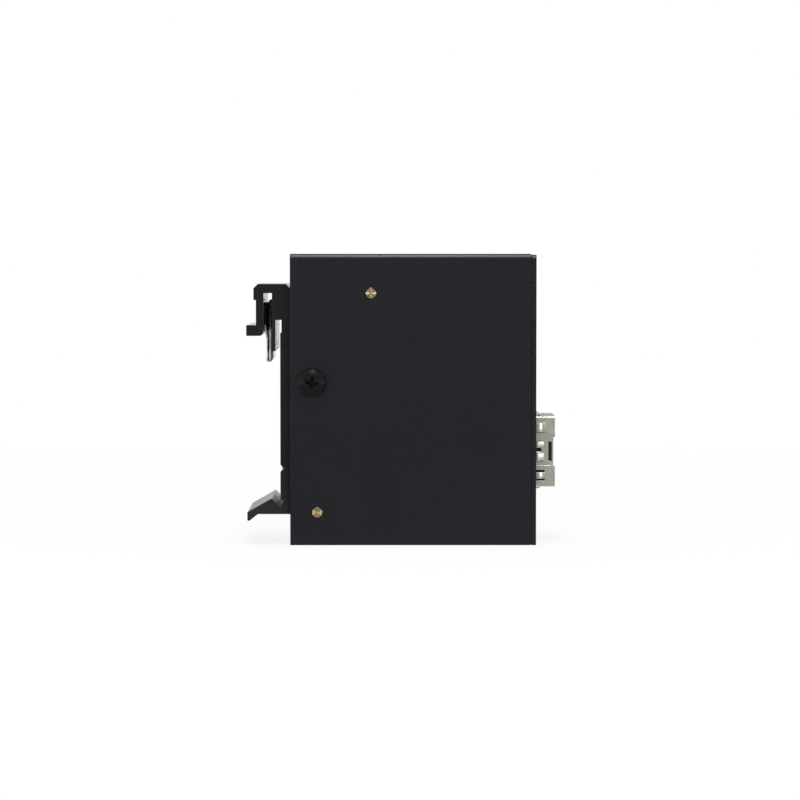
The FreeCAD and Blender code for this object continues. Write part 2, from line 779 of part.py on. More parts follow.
def make_clip_screws():
    """Countersunk screws through the clip into the back panel."""
    screw = new_body("flat_screw")
    head = d.flat_head / 2
    thread = d.screw_thread / 2
    sunk = d.flat_head_height
    spin(screw, "turned", [
        (0, -d.clip_screw_length), (thread, -d.clip_screw_length), (thread, -sunk), (head, 0), (0, 0),
    ])
    cross_recess(screw, as_size(0))
    places = [(-d.clip_plate, 0, z) for z in clip_screw_heights()]
    return repeat("clip_screws", screw, places, Rotation(Vector(0, 1, 0), -90))


def make_clip_spring():
    """Hairpin of spring strip: both legs stand in the clip's slot, the bend bears on the rail."""
    body = new_body("clip_spring")
    base = d.clip_base
    strip = d.spring_strip
    width = d.spring_width
    near = -width / 2
    right = -d.spring_slot_inner
    left = right - 2 * strip - 2 * d.spring_bend_inner
    bend = base + d.spring_bend_height
    inner_top = SLOT_TOP - d.spring_inner_gap
    inner_leg = outlines(body, "inner_leg", "XZ_Plane", near, [[
        (right, bend), (right, inner_top - d.spring_hook), (right - d.spring_hook, inner_top),
        (right - d.spring_hook - strip, inner_top), (right - strip, inner_top - d.spring_hook - strip / 2),
        (right - strip, bend),
    ]])
    grow(body, "inner_leg_pad", inner_leg, width)
    outer = -d.spring_slot_outer
    flare_low = base + d.spring_flare_start
    flare_high = flare_low + d.spring_flare_length
    outer_top = SLOT_TOP - d.spring_outer_gap
    section = outlines(body, "bend_section", "XY_Plane", bend,
                       [box_loop(right - strip, right, near, width / 2)])
    middle = right - strip - d.spring_bend_inner
    axis_line = section.addGeometry(
        Part.LineSegment(Vector(middle.value, near.value, 0), Vector(middle.value, 0, 0)), True)
    hold(section, "DistanceX", axis_line, 1, "axis_u1", middle)
    hold(section, "DistanceX", axis_line, 2, "axis_u2", middle)
    hold(section, "DistanceY", axis_line, 1, "axis_v1", near)
    hold(section, "DistanceY", axis_line, 2, "axis_v2", as_size(0))
    turned = body.newObject("PartDesign::Revolution", "hairpin_bend")
    turned.Profile = section
    turned.ReferenceAxis = (section, ["Axis0"])
    turned.Angle = 180
    turned.Reversed = False
    doc.recompute()
    if turned.Shape.BoundBox.ZMin > bend.value - strip.value:
        turned.Reversed = True
        doc.recompute()
    outer_leg = outlines(body, "outer_leg", "XZ_Plane", near, [[
        (left, bend), (left + strip, bend), (left + strip, flare_low), (outer + strip, flare_high),
        (outer + strip, outer_top), (outer, outer_top), (outer, flare_high), (left, flare_low),
    ]])
    grow(body, "outer_leg_pad", outer_leg, width)
    return keep(body)


def standoff_places():
    """The two standoffs as (x, z)."""
    return [(d.upper_standoff_x, UPPER_STANDOFF_Z), (d.lower_standoff_x, d.lower_standoff_z)]


def make_standoffs():
    """Hexagon brass pillars swaged into the visible side wall, their turned ends at the paint."""
    pillar = new_body("standoff")
    spigot = d.standoff_spigot / 2
    top = d.standoff_height
    end = -d.sheet - d.standoff_proud
    bevel = d.standoff_end_bevel
    spin(pillar, "spigot", [(0, end), (spigot - bevel, end), (spigot, end + bevel), (spigot, 0), (0, 0)])
    flats = outlines(pillar, "flats", "XY_Plane", 0, [hexagon(d.standoff_width)])
    grow(pillar, "flats_pad", flats, top)
    bore = circles(pillar, "bore", "XY_Plane", top - d.standoff_bore_depth,
                   [(0, 0, d.board_screw + 2 * d.thread_clearance)])
    cut(pillar, "bore_cut", bore, d.standoff_bore_depth)
    places = [(x, -HALF + d.sheet, z) for x, z in standoff_places()]
    return repeat("standoffs", pillar, places, Rotation(Vector(1, 0, 0), -90))


def make_board_screws():
    """Slotted screws that hold the board on its standoffs."""
    screw = new_body("board_screw")
    head = d.board_screw_head / 2
    thread = d.board_screw / 2
    rise = d.board_screw_head_height
    spin(screw, "turned", [
        (0, -d.board_screw_length), (thread, -d.board_screw_length), (thread, 0), (head, 0),
        (head, rise), (0, rise),
    ])
    half = d.board_screw_slot / 2
    slot = outlines(screw, "slot", "XY_Plane", rise - d.board_screw_slot_depth,
                    [box_loop(-head, head, -half, half)])
    cut(screw, "slot_cut", slot, d.board_screw_slot_depth)
    places = [(x, BOARD_TOP, z) for x, z in standoff_places()]
    return repeat("board_screws", screw, places, Rotation(Vector(1, 0, 0), -90))


def make_board():
    """Glass-fibre board standing parallel to the side walls."""
    body = new_body("circuit_board")
    front = PANEL_BACK - d.board_front_gap
    low = d.sheet + d.board_bottom_gap
    high = d.case_height - d.sheet - d.board_top_gap
    sheet = outlines(body, "outline", "XZ_Plane", BOARD_NEAR,
                     [box_loop(d.board_back, front, low, high)])
    grow(body, "outline_pad", sheet, d.board_thickness)
    corners = [(x, z) for x in (d.board_back, front) for z in (low, high)]
    chamfer(body, "corners", d.board_corner, "Y", corners)
    holes = circles(body, "holes", "XZ_Plane", BOARD_NEAR,
                    [(x, z, d.board_screw + 2 * d.board_hole_clearance) for x, z in standoff_places()])
    cut(body, "holes_cut", holes, d.board_thickness)
    return keep(body)


def arch(surface, outwards, end, dip=0):
    """Side view of one shield finger: (x, across) corners of a strip bowed out of a surface."""
    crest = surface + d.finger_bulge * outwards
    tail = surface - dip * outwards
    skin = -d.foil * outwards
    root = FRONT + end
    ramp = root - d.finger_flat
    crest_front = ramp - d.finger_ramp
    crest_back = crest_front - d.finger_crest
    stop = FRONT - d.finger_tail
    return [
        (root + d.finger_root, surface), (ramp, surface), (crest_front, crest), (crest_back, crest),
        (stop, tail), (stop, tail + skin), (crest_back, crest + skin), (crest_front, crest + skin),
        (ramp, surface + skin), (root + d.finger_root, surface + skin),
    ]


def make_jack_shield():
    """Folded shield of the network socket; its latch side faces the visible wall."""
    body = new_body("jack_shield")
    front = FRONT + d.jack_reach
    back = JACK_BACK
    low = d.jack_middle - d.jack_width / 2
    high = d.jack_middle + d.jack_width / 2
    near = BOARD_TOP
    far = BOARD_TOP + d.jack_height
    block = outlines(body, "block", "YZ_Plane", back, [box_loop(near, far, low, high)])
    grow(body, "block_pad", block, d.jack_length)
    fillet(body, "folds", d.jack_corner, "X", [(y, z) for y in (near, far) for z in (low, high)])
    hollow(body, "shell", d.foil, "X", front)
    underside = outlines(body, "underside", "XZ_Plane", near, [box_loop(
        back + d.underside_back, FRONT - d.underside_front, low + d.underside_side, high - d.underside_side)])
    cut(body, "underside_cut", underside, d.foil)
    key_back = FRONT - d.key_back
    key_half = d.key_width / 2
    key_low = d.jack_middle - key_half
    key_high = d.jack_middle + key_half
    key = outlines(body, "key_window", "XZ_Plane", near, [box_loop(key_back, front, key_low, key_high)])
    cut(body, "key_window_cut", key, d.foil)
    step = outlines(body, "key_step", "XZ_Plane", near + d.key_step, [box_loop(
        key_back - d.key_lap, front - d.key_setback, key_low - d.key_lap, key_high + d.key_lap)])
    grow(body, "key_step_pad", step, d.foil)
    slot_half = d.key_slot_width / 2
    slot_front = front - d.key_slot_setback
    finger_half = d.key_finger_width / 2
    gap_half = finger_half + d.key_finger_gap
    window_back = FRONT - d.finger_window_back
    slots = outlines(body, "key_slots", "XZ_Plane", near, [
        box_loop(slot_front - d.key_slot_depth, slot_front,
                 d.jack_middle - slot_half, d.jack_middle + slot_half),
        box_loop(window_back, FRONT + d.key_finger_end, d.jack_middle - gap_half, d.jack_middle + gap_half)])
    cut(body, "key_slots_cut", slots, d.key_step + d.foil)
    window_half = d.finger_window / 2
    finger_half_width = d.finger_width / 2
    middles = [d.jack_middle - d.finger_spacing / 2, d.jack_middle + d.finger_spacing / 2]
    for side, (name, start) in enumerate((("near", near), ("far", far - d.foil))):
        windows = outlines(body, name + "_windows", "XZ_Plane", start, [
            box_loop(window_back, FRONT + d.finger_end, middle - window_half, middle + window_half)
            for middle in middles])
        cut(body, name + "_windows_cut", windows, d.foil)
        surface = far if side else near
        for number, middle in enumerate(middles):
            bow = outlines(body, "%s_finger_%d" % (name, number), "XY_Plane", middle - finger_half_width,
                           [arch(surface, 1 if side else -1, d.finger_end, 0 if side else d.finger_dip)])
            grow(body, "%s_finger_%d_pad" % (name, number), bow, d.finger_width)
    bow = outlines(body, "key_finger", "XY_Plane", d.jack_middle - finger_half,
                   [arch(near + d.key_step, -1, d.key_finger_end, d.finger_dip)])
    grow(body, "key_finger_pad", bow, d.key_finger_width)
    eye_middle = d.jack_middle + d.key_eye_offset
    eye = outlines(body, "key_eye", "XZ_Plane", near - d.finger_bulge, [box_loop(
        FRONT + d.key_eye_start, FRONT + d.key_finger_end - d.key_eye_end_gap,
        eye_middle - d.key_eye_width / 2, eye_middle + d.key_eye_width / 2)])
    cut(body, "key_eye_cut", eye, d.finger_bulge + d.key_step + d.foil + d.finger_dip)
    side_finger = near + d.jack_height / 2 - d.side_finger_width / 2
    for name, surface, outwards in (("lower", low, -1), ("upper", high, 1)):
        bow = outlines(body, name + "_finger", "XZ_Plane", side_finger,
                       [arch(surface, outwards, d.finger_end)])
        grow(body, name + "_finger_pad", bow, d.side_finger_width)
    return keep(body)


def make_jack_insert():
    """Moulded insulator with the stepped plug opening."""
    body = new_body("jack_insert")
    front = FRONT + d.jack_reach
    back = JACK_BACK + d.foil
    low = d.jack_middle - d.jack_width / 2 + d.foil + d.insert_clearance
    high = d.jack_middle + d.jack_width / 2 - d.foil - d.insert_clearance
    near = BOARD_TOP + d.insert_near_gap
    far = BOARD_TOP + d.jack_height - d.foil
    block = outlines(body, "block", "YZ_Plane", back, [box_loop(near, far, low, high)])
    grow(body, "block_pad", block, d.jack_length - d.foil - d.insert_setback)
    chamfer(body, "corners", d.insert_corner, "X", [(far, low), (far, high)])
    middle = d.jack_middle
    plug = d.plug_width / 2
    key = d.plug_key_width / 2
    comb = d.comb_width / 2
    floor = BOARD_TOP + d.plug_key_floor
    shelf = floor + d.plug_key_height
    roof = shelf + d.plug_height
    opening = outlines(body, "opening", "YZ_Plane", front - d.plug_depth, [[
        (shelf, middle - plug), (shelf, middle - key), (floor, middle - key), (floor, middle + key),
        (shelf, middle + key), (shelf, middle + plug), (roof, middle + plug), (roof, middle + comb),
        (roof + d.comb_height, middle + comb), (roof + d.comb_height, middle - comb),
        (roof, middle - comb), (roof, middle - plug),
    ]])
    cut(body, "opening_cut", opening, d.plug_depth)
    return keep(body)


def make_jack_contacts():
    """Eight sprung contacts under the roof of the plug opening."""
    contact = new_body("jack_contact")
    roof = BOARD_TOP + d.plug_key_floor + d.plug_key_height + d.plug_height + d.comb_height
    front = FRONT + d.jack_reach
    strip = d.contact_strip
    back = front - d.plug_depth
    nose = front - d.contact_nose
    crook = nose - d.contact_crook
    tip = front - d.contact_tip
    tip_low = roof - d.contact_tip_drop
    gap = d.contact_crook_gap
    side = outlines(contact, "strip", "XY_Plane", -d.contact_width / 2, [[
        (back, roof), (nose - d.contact_crown, roof), (nose, roof - d.contact_nose_drop), (tip, tip_low),
        (tip - gap, tip_low + strip), (crook, roof - strip - gap), (crook - gap, roof - strip),
        (back, roof - strip),
    ]])
    grow(contact, "strip_pad", side, d.contact_width)
    first = d.jack_middle - d.contact_pitch * (CONTACTS - 1) / 2
    places = [(0, 0, first + d.contact_pitch * index) for index in range(CONTACTS)]
    return repeat("jack_contacts", contact, places)


def make_cage():
    """Folded cage for a pluggable optical module, its mouth flush with the front panel."""
    body = new_body("optics_cage")
    back = CAGE_BACK
    low = CAGE_MIDDLE - d.cage_width / 2
    high = CAGE_TOP
    near = BOARD_TOP
    far = BOARD_TOP + d.cage_height
    block = outlines(body, "block", "YZ_Plane", back, [box_loop(near, far, low, high)])
    grow(body, "block_pad", block, CAGE_LENGTH)
    chamfer(body, "folds", d.cage_corner, "X", [(y, z) for y in (near, far) for z in (low, high)])
    hollow(body, "shell", d.foil, "X", FRONT)
    gap = outlines(body, "socket_gap", "XZ_Plane", near, [box_loop(
        back + d.cage_gap_back, back + d.socket_depth + d.cage_gap_front,
        low + d.cage_gap_side, high - d.cage_gap_side)])
    cut(body, "socket_gap_cut", gap, d.foil)
    latch_half = d.latch_hole_width / 2
    latch = outlines(body, "latch_hole", "XZ_Plane", near, [[
        (FRONT - d.latch_hole_tip, CAGE_MIDDLE), (FRONT - d.latch_hole_base, CAGE_MIDDLE - latch_half),
        (FRONT - d.latch_hole_base, CAGE_MIDDLE + latch_half)]])
    cut(body, "latch_hole_cut", latch, d.foil)
    return keep(body)


def make_cage_socket():
    """Edge connector at the back of the cage."""
    body = new_body("optics_socket")
    back = CAGE_BACK + d.socket_back_gap
    front = back + d.socket_depth
    half = d.socket_width / 2
    near = BOARD_TOP
    block = outlines(body, "block", "YZ_Plane", back,
                     [box_loop(near, near + d.socket_height, CAGE_MIDDLE - half, CAGE_MIDDLE + half)])
    grow(body, "block_pad", block, d.socket_depth)
    slot_low = near + d.socket_slot_rise
    slot_half = half - d.socket_slot_end
    slot = outlines(body, "card_slot", "YZ_Plane", front - d.socket_slot_depth, [box_loop(
        slot_low, slot_low + d.socket_slot, CAGE_MIDDLE - slot_half, CAGE_MIDDLE + slot_half)])
    cut(body, "card_slot_cut", slot, d.socket_slot_depth)
    top = near + d.socket_height
    chamfer(body, "lead_in", d.socket_lead_in, "Z", [(front, top), (back, top)])
    return keep(body)


def light_heights():
    """Heights of the status lights, the lowest first, midway between the cage and the top."""
    lowest = LIGHT_MIDDLE - d.light_pitch * (LIGHTS - 1) / 2
    return [lowest + d.light_pitch * index for index in range(LIGHTS)]


def light_loop(z, clearance):
    """Outline of one light in the front panel's plane, or of its hole with a clearance."""
    y = BOARD_TOP + d.light_rise
    half_width = d.light_width / 2 + clearance
    half_height = d.light_height / 2 + clearance
    return box_loop(y - half_width, y + half_width, z - half_height, z + half_height)


def make_light_pipe():
    """Clear moulding that carries the lamps to the front panel."""
    body = new_body("light_pipe")
    heights = light_heights()
    margin = d.light_height / 2 + d.light_block_margin
    far = BOARD_TOP + d.light_rise + d.light_width / 2 + d.light_block_skin
    block = outlines(body, "block", "YZ_Plane", LIGHT_BLOCK_BACK,
                     [box_loop(BOARD_TOP, far, heights[0] - margin, heights[-1] + margin)])
    grow(body, "block_pad", block, d.light_block_depth)
    rods = outlines(body, "rods", "YZ_Plane", LIGHT_BLOCK_FRONT, [light_loop(z, 0) for z in heights])
    grow(body, "rods_pad", rods, d.light_rod_length)
    return keep(body)


def make_lamps():
    """Side-firing lamps behind the light pipe."""
    lamp = new_body("lamp")
    back = -d.lamp_depth
    seat = d.lamp_base_height
    top = d.lamp_height
    bevel = d.lamp_lens_bevel
    base = outlines(lamp, "base", "XY_Plane", -d.lamp_base_width / 2, [box_loop(back, 0, 0, seat)])
    grow(lamp, "base_pad", base, d.lamp_base_width)
    lens = outlines(lamp, "lens", "XY_Plane", -d.lamp_lens_width / 2, [[
        (back, seat), (0, seat), (0, top), (back + bevel, top), (back, top - bevel)]])
    grow(lamp, "lens_pad", lens, d.lamp_lens_width)
    return repeat("status_lamps", lamp, [(LIGHT_BLOCK_BACK, BOARD_TOP, z) for z in light_heights()])


def terminal_poles():
    """Middles of the poles along X."""
    first = TERMINAL_BACK + d.terminal_margin + d.terminal_pitch / 2
    return [first + d.terminal_pitch * index for index in range(POLES)]


def make_terminal():
    """Fixed screw terminal whose wire and driver holes open through the top of the case."""
    body = new_body("terminal_block")
    top = d.case_height
    near = BOARD_TOP
    far = near + d.terminal_width
    block = outlines(body, "block", "XY_Plane", top - d.terminal_drop,
                     [box_loop(TERMINAL_BACK, TERMINAL_FRONT, near, far)])
    grow(body, "block_pad", block, d.terminal_drop)
    chamfer(body, "top_edges", d.terminal_edge, "X", [(near, top), (far, top)])
    half = d.wire_hole / 2
    wires = outlines(body, "wire_holes", "XY_Plane", top - d.wire_hole_depth, [
        box_loop(pole - half, pole + half, WIRE_ROW - half, WIRE_ROW + half) for pole in terminal_poles()])
    cut(body, "wire_holes_cut", wires, d.wire_hole_depth)
    drivers = circles(body, "driver_holes", "XY_Plane", top - d.driver_hole_depth, [
        (pole, DRIVER_ROW, DRIVER_HOLE) for pole in terminal_poles()])
    cut(body, "driver_holes_cut", drivers, d.driver_hole_depth)
    return keep(body)


def make_terminal_screws():
    """Slotted clamping screws down the driver holes."""
    screw = new_body("clamp_screw")
    radius = d.clamp_screw / 2
    length = d.driver_hole_depth - d.clamp_screw_sink
    shank = circles(screw, "shank", "XY_Plane", 0, [(0, 0, d.clamp_screw)])
    grow(screw, "shank_pad", shank, length)
    half = d.clamp_slot / 2
    slot = outlines(screw, "slot", "XY_Plane", length - d.clamp_slot_depth,
                    [box_loop(-radius, radius, -half, half)])
    cut(screw, "slot_cut", slot, d.clamp_slot_depth)
    bottom = d.case_height - d.driver_hole_depth
    turns = (20, -35, 65)
    places = [
        (pole, DRIVER_ROW, bottom, Rotation(Vector(0, 0, 1), angle))
        for pole, angle in zip(terminal_poles(), turns)
    ]
    return repeat("terminal_screws", screw, places)


def make_terminal_clamps():
    """Plated cages at the bottom of the wire holes."""
    clamp = new_body("wire_clamp")
    half = d.wire_hole / 2 - d.clamp_clearance
    hole = half - d.clamp_wall
    ring = outlines(clamp, "ring", "XY_Plane", 0, [
        box_loop(-half, half, -half, half), box_loop(-hole, hole, -hole, hole)])
    grow(clamp, "ring_pad", ring, d.clamp_height)
    bottom = d.case_height - d.wire_hole_depth
    places = [(pole, WIRE_ROW, bottom) for pole in terminal_poles()]
    return repeat("terminal_clamps", clamp, places)


def make_package(label, x, z, length, depth, height, edge):
    """A board component: a block lying on the board with its outer edges bevelled."""
    body = new_body(label)
    x = as_size(x)
    z = as_size(z)
    top = BOARD_TOP + height
    block = outlines(body, "outline", "XZ_Plane", BOARD_TOP,
                     [box_loop(x - length / 2, x + length / 2, z - depth / 2, z + depth / 2)])
    grow(body, "outline_pad", block, height)
    names = edges_along(body.Tip.Shape, "X", [(top, z - depth / 2), (top, z + depth / 2)])
    names += edges_along(body.Tip.Shape, "Z", [(x - length / 2, top), (x + length / 2, top)])
    soften(body, "outer_edges", "Chamfer", edge, names)
    return keep(body)


def make_capacitors():
    """Two aluminium capacitors for the supply."""
    can = new_body("capacitor")
    radius = d.capacitor_width / 2
    top = d.capacitor_height
    seat = d.capacitor_base_height
    spin(can, "can", [(0, seat), (radius, seat), (radius, top), (0, top)])
    half = d.capacitor_base / 2
    corner = half - d.capacitor_base_corner
    plinth = outlines(can, "plinth", "XY_Plane", 0, [[
        (-half, -half), (corner, -half), (half, -corner), (half, corner), (corner, half), (-half, half)]])
    grow(can, "plinth_pad", plinth, seat)
    places = [
        (CAPACITOR_X + d.capacitor_pitch * index, BOARD_TOP, d.lower_standoff_z) for index in range(2)]
    return repeat("capacitors", can, places, Rotation(Vector(1, 0, 0), -90))


def check_and_export():
    """Stop at any object that failed, then write every sub-part."""
    doc.recompute()
    for thing in doc.Objects:
        if "Invalid" in thing.State or "Error" in thing.State:
            raise RuntimeError("%s did not compute: %s" % (thing.Label, thing.State))
    os.makedirs("parts", exist_ok=True)
    for thing in sub_parts:
        if thing.Shape.isNull() or not thing.Shape.isValid() or not thing.Shape.Solids:
            raise RuntimeError("%s has no valid solid" % thing.Label)
        thing.Shape.exportStep("parts/%s.step" % thing.Label)


make_cover()
make_chassis()
make_cover_screws()
make_nuts()
make_rail_clip()
make_clip_screws()
make_clip_spring()
make_standoffs()
make_board_screws()
make_board()
make_jack_shield()
make_jack_insert()
make_jack_contacts()
make_cage()
make_cage_socket()
make_light_pipe()
make_lamps()
make_terminal()
make_terminal_screws()
make_terminal_clamps()
make_package("lan_transformer", TRANSFORMER_X, d.jack_middle, d.transformer_depth,
             d.transformer_length, d.transformer_height, d.transformer_edge)
make_package("converter_chip", CHIP_X, d.jack_middle, d.chip_size, d.chip_size, d.chip_height, d.chip_edge)
make_package("crystal", CHIP_X, CRYSTAL_Z, d.crystal_length, d.crystal_depth, d.crystal_height,
             d.crystal_edge)
make_package("power_inductor", INDUCTOR_X, INDUCTOR_Z, d.inductor_size, d.inductor_size,
             d.inductor_height, d.inductor_edge)
make_package("regulator", REGULATOR_X, d.lower_standoff_z, d.regulator_length, d.regulator_depth,
             d.regulator_height, d.regulator_edge)
make_capacitors()
check_and_export()
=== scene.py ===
"""Looks of the industrial media converter: finishes, finer screws, bent strips, camera, floor and light.

Everything is in metres in the part's own frame: +X towards the ports, +Z up, the visible wall at -Y.
"""

import json
import math

import bmesh
import bpy
from mathutils import Matrix, Vector


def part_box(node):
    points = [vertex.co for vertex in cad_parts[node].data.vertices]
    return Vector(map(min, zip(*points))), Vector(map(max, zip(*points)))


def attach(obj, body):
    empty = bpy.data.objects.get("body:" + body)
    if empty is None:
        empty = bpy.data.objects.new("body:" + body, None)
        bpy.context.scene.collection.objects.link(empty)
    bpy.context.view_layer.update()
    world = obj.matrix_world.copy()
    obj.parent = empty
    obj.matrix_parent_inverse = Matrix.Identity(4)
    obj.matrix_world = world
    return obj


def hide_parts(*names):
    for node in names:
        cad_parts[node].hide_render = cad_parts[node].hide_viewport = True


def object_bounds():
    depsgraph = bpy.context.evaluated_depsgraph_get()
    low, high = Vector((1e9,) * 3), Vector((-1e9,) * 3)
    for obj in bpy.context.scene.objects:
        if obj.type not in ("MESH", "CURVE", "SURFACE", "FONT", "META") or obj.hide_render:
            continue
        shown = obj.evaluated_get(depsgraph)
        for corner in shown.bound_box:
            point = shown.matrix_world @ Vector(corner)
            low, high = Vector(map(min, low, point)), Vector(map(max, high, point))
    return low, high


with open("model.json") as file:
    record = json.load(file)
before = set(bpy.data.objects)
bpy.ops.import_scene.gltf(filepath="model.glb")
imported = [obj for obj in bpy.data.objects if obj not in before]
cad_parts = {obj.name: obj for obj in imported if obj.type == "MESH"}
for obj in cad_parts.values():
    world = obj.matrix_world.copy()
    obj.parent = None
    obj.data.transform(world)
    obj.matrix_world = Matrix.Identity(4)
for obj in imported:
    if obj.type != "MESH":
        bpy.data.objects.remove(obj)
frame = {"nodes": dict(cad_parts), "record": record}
cad_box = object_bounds()

MM = 0.001

# The photograph: 800 px square, the visible wall seen almost square on.
IMAGE_PX = 800
CASE_LEFT_PX = 290.0
CASE_BOTTOM_PX = 545.7
WALL_PX_PER_MM = 4.631
VANISHING_PX = (392.0, 258.0)
EYE_TO_WALL_MM = 617.0
SENSOR_MM = 36.0
CLIP_START = 0.01

# Studio: reaches on the floor in metres, levels as shares of the white behind the part, and directions as
# parts of a unit vector.
FLOOR_HALF = 1.6
FLOOR_DROP = 0.05 * MM
FLOOR_GLOW = 0.86
PAPER_COLOUR = (0.88, 0.88, 0.88, 1.0)
PAPER_ROUGHNESS = 0.9
PAPER_SPECULAR = 0.1
SHADOW_REACH = (0.10, 0.35)
FLAG_REACH = (-0.06, 0.10)
BACK_LEVEL = 1.0
FRONT_LEVEL = 0.36
FRONT_TO_BACK = (-0.9, 0.1)
ZENITH_SHARE = 0.5
WALL_TO_ZENITH = (0.3, 0.9)

# Sizes of the spring that its finish needs too.
SPRING_STRIP = 0.35 * MM
HAIRPIN_INNER = 0.30 * MM


class Finish:
    """One material, with short ways to add procedural detail to its principled shader."""

    bevel_samples = 4
    edge_cosines = (0.78, 0.985)
    shelter_samples = 8
    open_shares = (0.5, 0.95)
    shaded_specular = 0.12

    def __init__(self, name):
        self.material = bpy.data.materials.new(name)
        self.material.use_nodes = True
        self.tree = self.material.node_tree
        self.shader = self.tree.nodes["Principled BSDF"]
        self.place = self.node("ShaderNodeTexCoord").outputs["Object"]

    def node(self, kind, **settings):
        """Add a node and set its properties."""
        made = self.tree.nodes.new(kind)
        for key, value in settings.items():
            setattr(made, key, value)
        return made

    def wire(self, source, target):
        """Link an output to an input, or set the input to a plain value."""
        if isinstance(source, bpy.types.NodeSocket):
            self.tree.links.new(source, target)
        else:
            target.default_value = source

    def set(self, **values):
        """Set inputs of the shader itself; underscores stand for spaces."""
        for key, value in values.items():
            self.shader.inputs[key.replace("_", " ")].default_value = value

    def calc(self, operation, first, second=0.0):
        """Arithmetic on one or two values."""
        result = self.node("ShaderNodeMath", operation=operation)
        self.wire(first, result.inputs[0])
        self.wire(second, result.inputs[1])
        return result.outputs["Value"]

    def plus(self, first, second):
        """Sum of two values."""
        return self.calc("ADD", first, second)

    def minus(self, first, second):
        """Difference of two values."""
        return self.calc("SUBTRACT", first, second)

    def times(self, first, second):
        """Product of two values."""
        return self.calc("MULTIPLY", first, second)

    def larger(self, first, second):
        """The larger of two values."""
        return self.calc("MAXIMUM", first, second)

    def spread(self, value, low, high, start=0.3, stop=0.7):
        """Map a value between start and stop to low and high, without going past them."""
        spread = self.node("ShaderNodeMapRange")
        self.wire(value, spread.inputs["Value"])
        spread.inputs["From Min"].default_value = start
        spread.inputs["From Max"].default_value = stop
        spread.inputs["To Min"].default_value = low
        spread.inputs["To Max"].default_value = high
        return spread.outputs["Result"]

    def noise(self, per_mm, detail, stretch=(1, 1, 1)):
        """Noise from 0 to 1 with so many features in a millimetre, stretched by axis."""
        mapping = self.node("ShaderNodeMapping")
        mapping.inputs["Scale"].default_value = [per_mm / MM * share for share in stretch]
        self.wire(self.place, mapping.inputs["Vector"])
        texture = self.node("ShaderNodeTexNoise")
        texture.inputs["Scale"].default_value = 1.0
        texture.inputs["Detail"].default_value = detail
        self.wire(mapping.outputs["Vector"], texture.inputs["Vector"])
        return texture.outputs["Fac"]

    def patches(self, per_mm, detail):
        """Noise with its contrast raised, so that it reaches 0 and 1."""
        return self.spread(self.noise(per_mm, detail), 0.0, 1.0)

    def axis(self, name):
        """One coordinate of the frame in metres."""
        apart = self.node("ShaderNodeSeparateXYZ")
        self.wire(self.place, apart.inputs["Vector"])
        return apart.outputs[name]

    def facing(self, name):
        """How far a face looks along one axis of the frame, from -1 to 1."""
        apart = self.node("ShaderNodeSeparateXYZ")
        self.wire(self.node("ShaderNodeNewGeometry").outputs["Normal"], apart.inputs["Vector"])
        return apart.outputs[name]

    def distance(self, x, z):
        """Distance in metres from an axis that runs along Y."""
        across = self.calc("POWER", self.minus(self.axis("X"), x), 2.0)
        above = self.calc("POWER", self.minus(self.axis("Z"), z), 2.0)
        return self.calc("POWER", self.plus(across, above), 0.5)

    def rounded(self, radius_mm):
        """Normals as if the edges had a small radius."""
        bevel = self.node("ShaderNodeBevel", samples=self.bevel_samples)
        bevel.inputs["Radius"].default_value = radius_mm * MM
        return bevel.outputs["Normal"]

    def edges(self, radius_mm):
        """1 along sharp edges and 0 away from them."""
        true_normal = self.node("ShaderNodeNewGeometry").outputs["Normal"]
        turn = self.node("ShaderNodeVectorMath", operation="DOT_PRODUCT")
        self.wire(self.rounded(radius_mm), turn.inputs[0])
        self.wire(true_normal, turn.inputs[1])
        return self.spread(turn.outputs["Value"], 1.0, 0.0, *self.edge_cosines)

    def corner_shade(self, reach_mm):
        """Mask for painted shade: 0 in the open and 1 deep in a corner."""
        shelter = self.node("ShaderNodeAmbientOcclusion", samples=self.shelter_samples)
        shelter.inputs["Distance"].default_value = reach_mm * MM
        return self.spread(shelter.outputs["AO"], 1.0, 0.0, *self.open_shares)

    def mix(self, factor, first, second):
        """Mix two colours."""
        mixed = self.node("ShaderNodeMix", data_type="RGBA")
        self.wire(factor, mixed.inputs["Factor"])
        self.wire(first, mixed.inputs["A"])
        self.wire(second, mixed.inputs["B"])
        return mixed.outputs["Result"]

    def tones(self, factor, base, first, second):
        """Mix a colour's two shades."""
        return self.mix(factor, shade(base, first), shade(base, second))

    def edged(self, ground, radius_mm, share, edge):
        """A colour that goes over to another, by a share, along the edges."""
        return self.mix(self.times(self.edges(radius_mm), share), ground, edge)

    def relief(self, height, depth_mm, edge_mm=0.0):
        """Bump from a height of 0 to 1, over edges that are rounded where a radius is given."""
        bump = self.node("ShaderNodeBump")
        bump.inputs["Strength"].default_value = 1.0
        bump.inputs["Distance"].default_value = depth_mm * MM
        self.wire(height, bump.inputs["Height"])
        if edge_mm:
            self.wire(self.rounded(edge_mm), bump.inputs["Normal"])
        self.wire(bump.outputs["Normal"], self.shader.inputs["Normal"])

    def colour(self, value):
        """Drive the base colour."""
        self.wire(value, self.shader.inputs["Base Color"])

    def rough(self, value):
        """Drive the roughness."""
        self.wire(value, self.shader.inputs["Roughness"])

    def bare(self, shade_share):
        """Metal, but dull and not metallic over the given share, where painted shade lies."""
        self.wire(self.minus(1.0, shade_share), self.shader.inputs["Metallic"])
        self.set(Specular_IOR_Level=self.shaded_specular)


def shade(colour, factor):
    """A colour made lighter or darker, with alpha."""
    return tuple(channel * factor for channel in colour[:3]) + (1.0,)


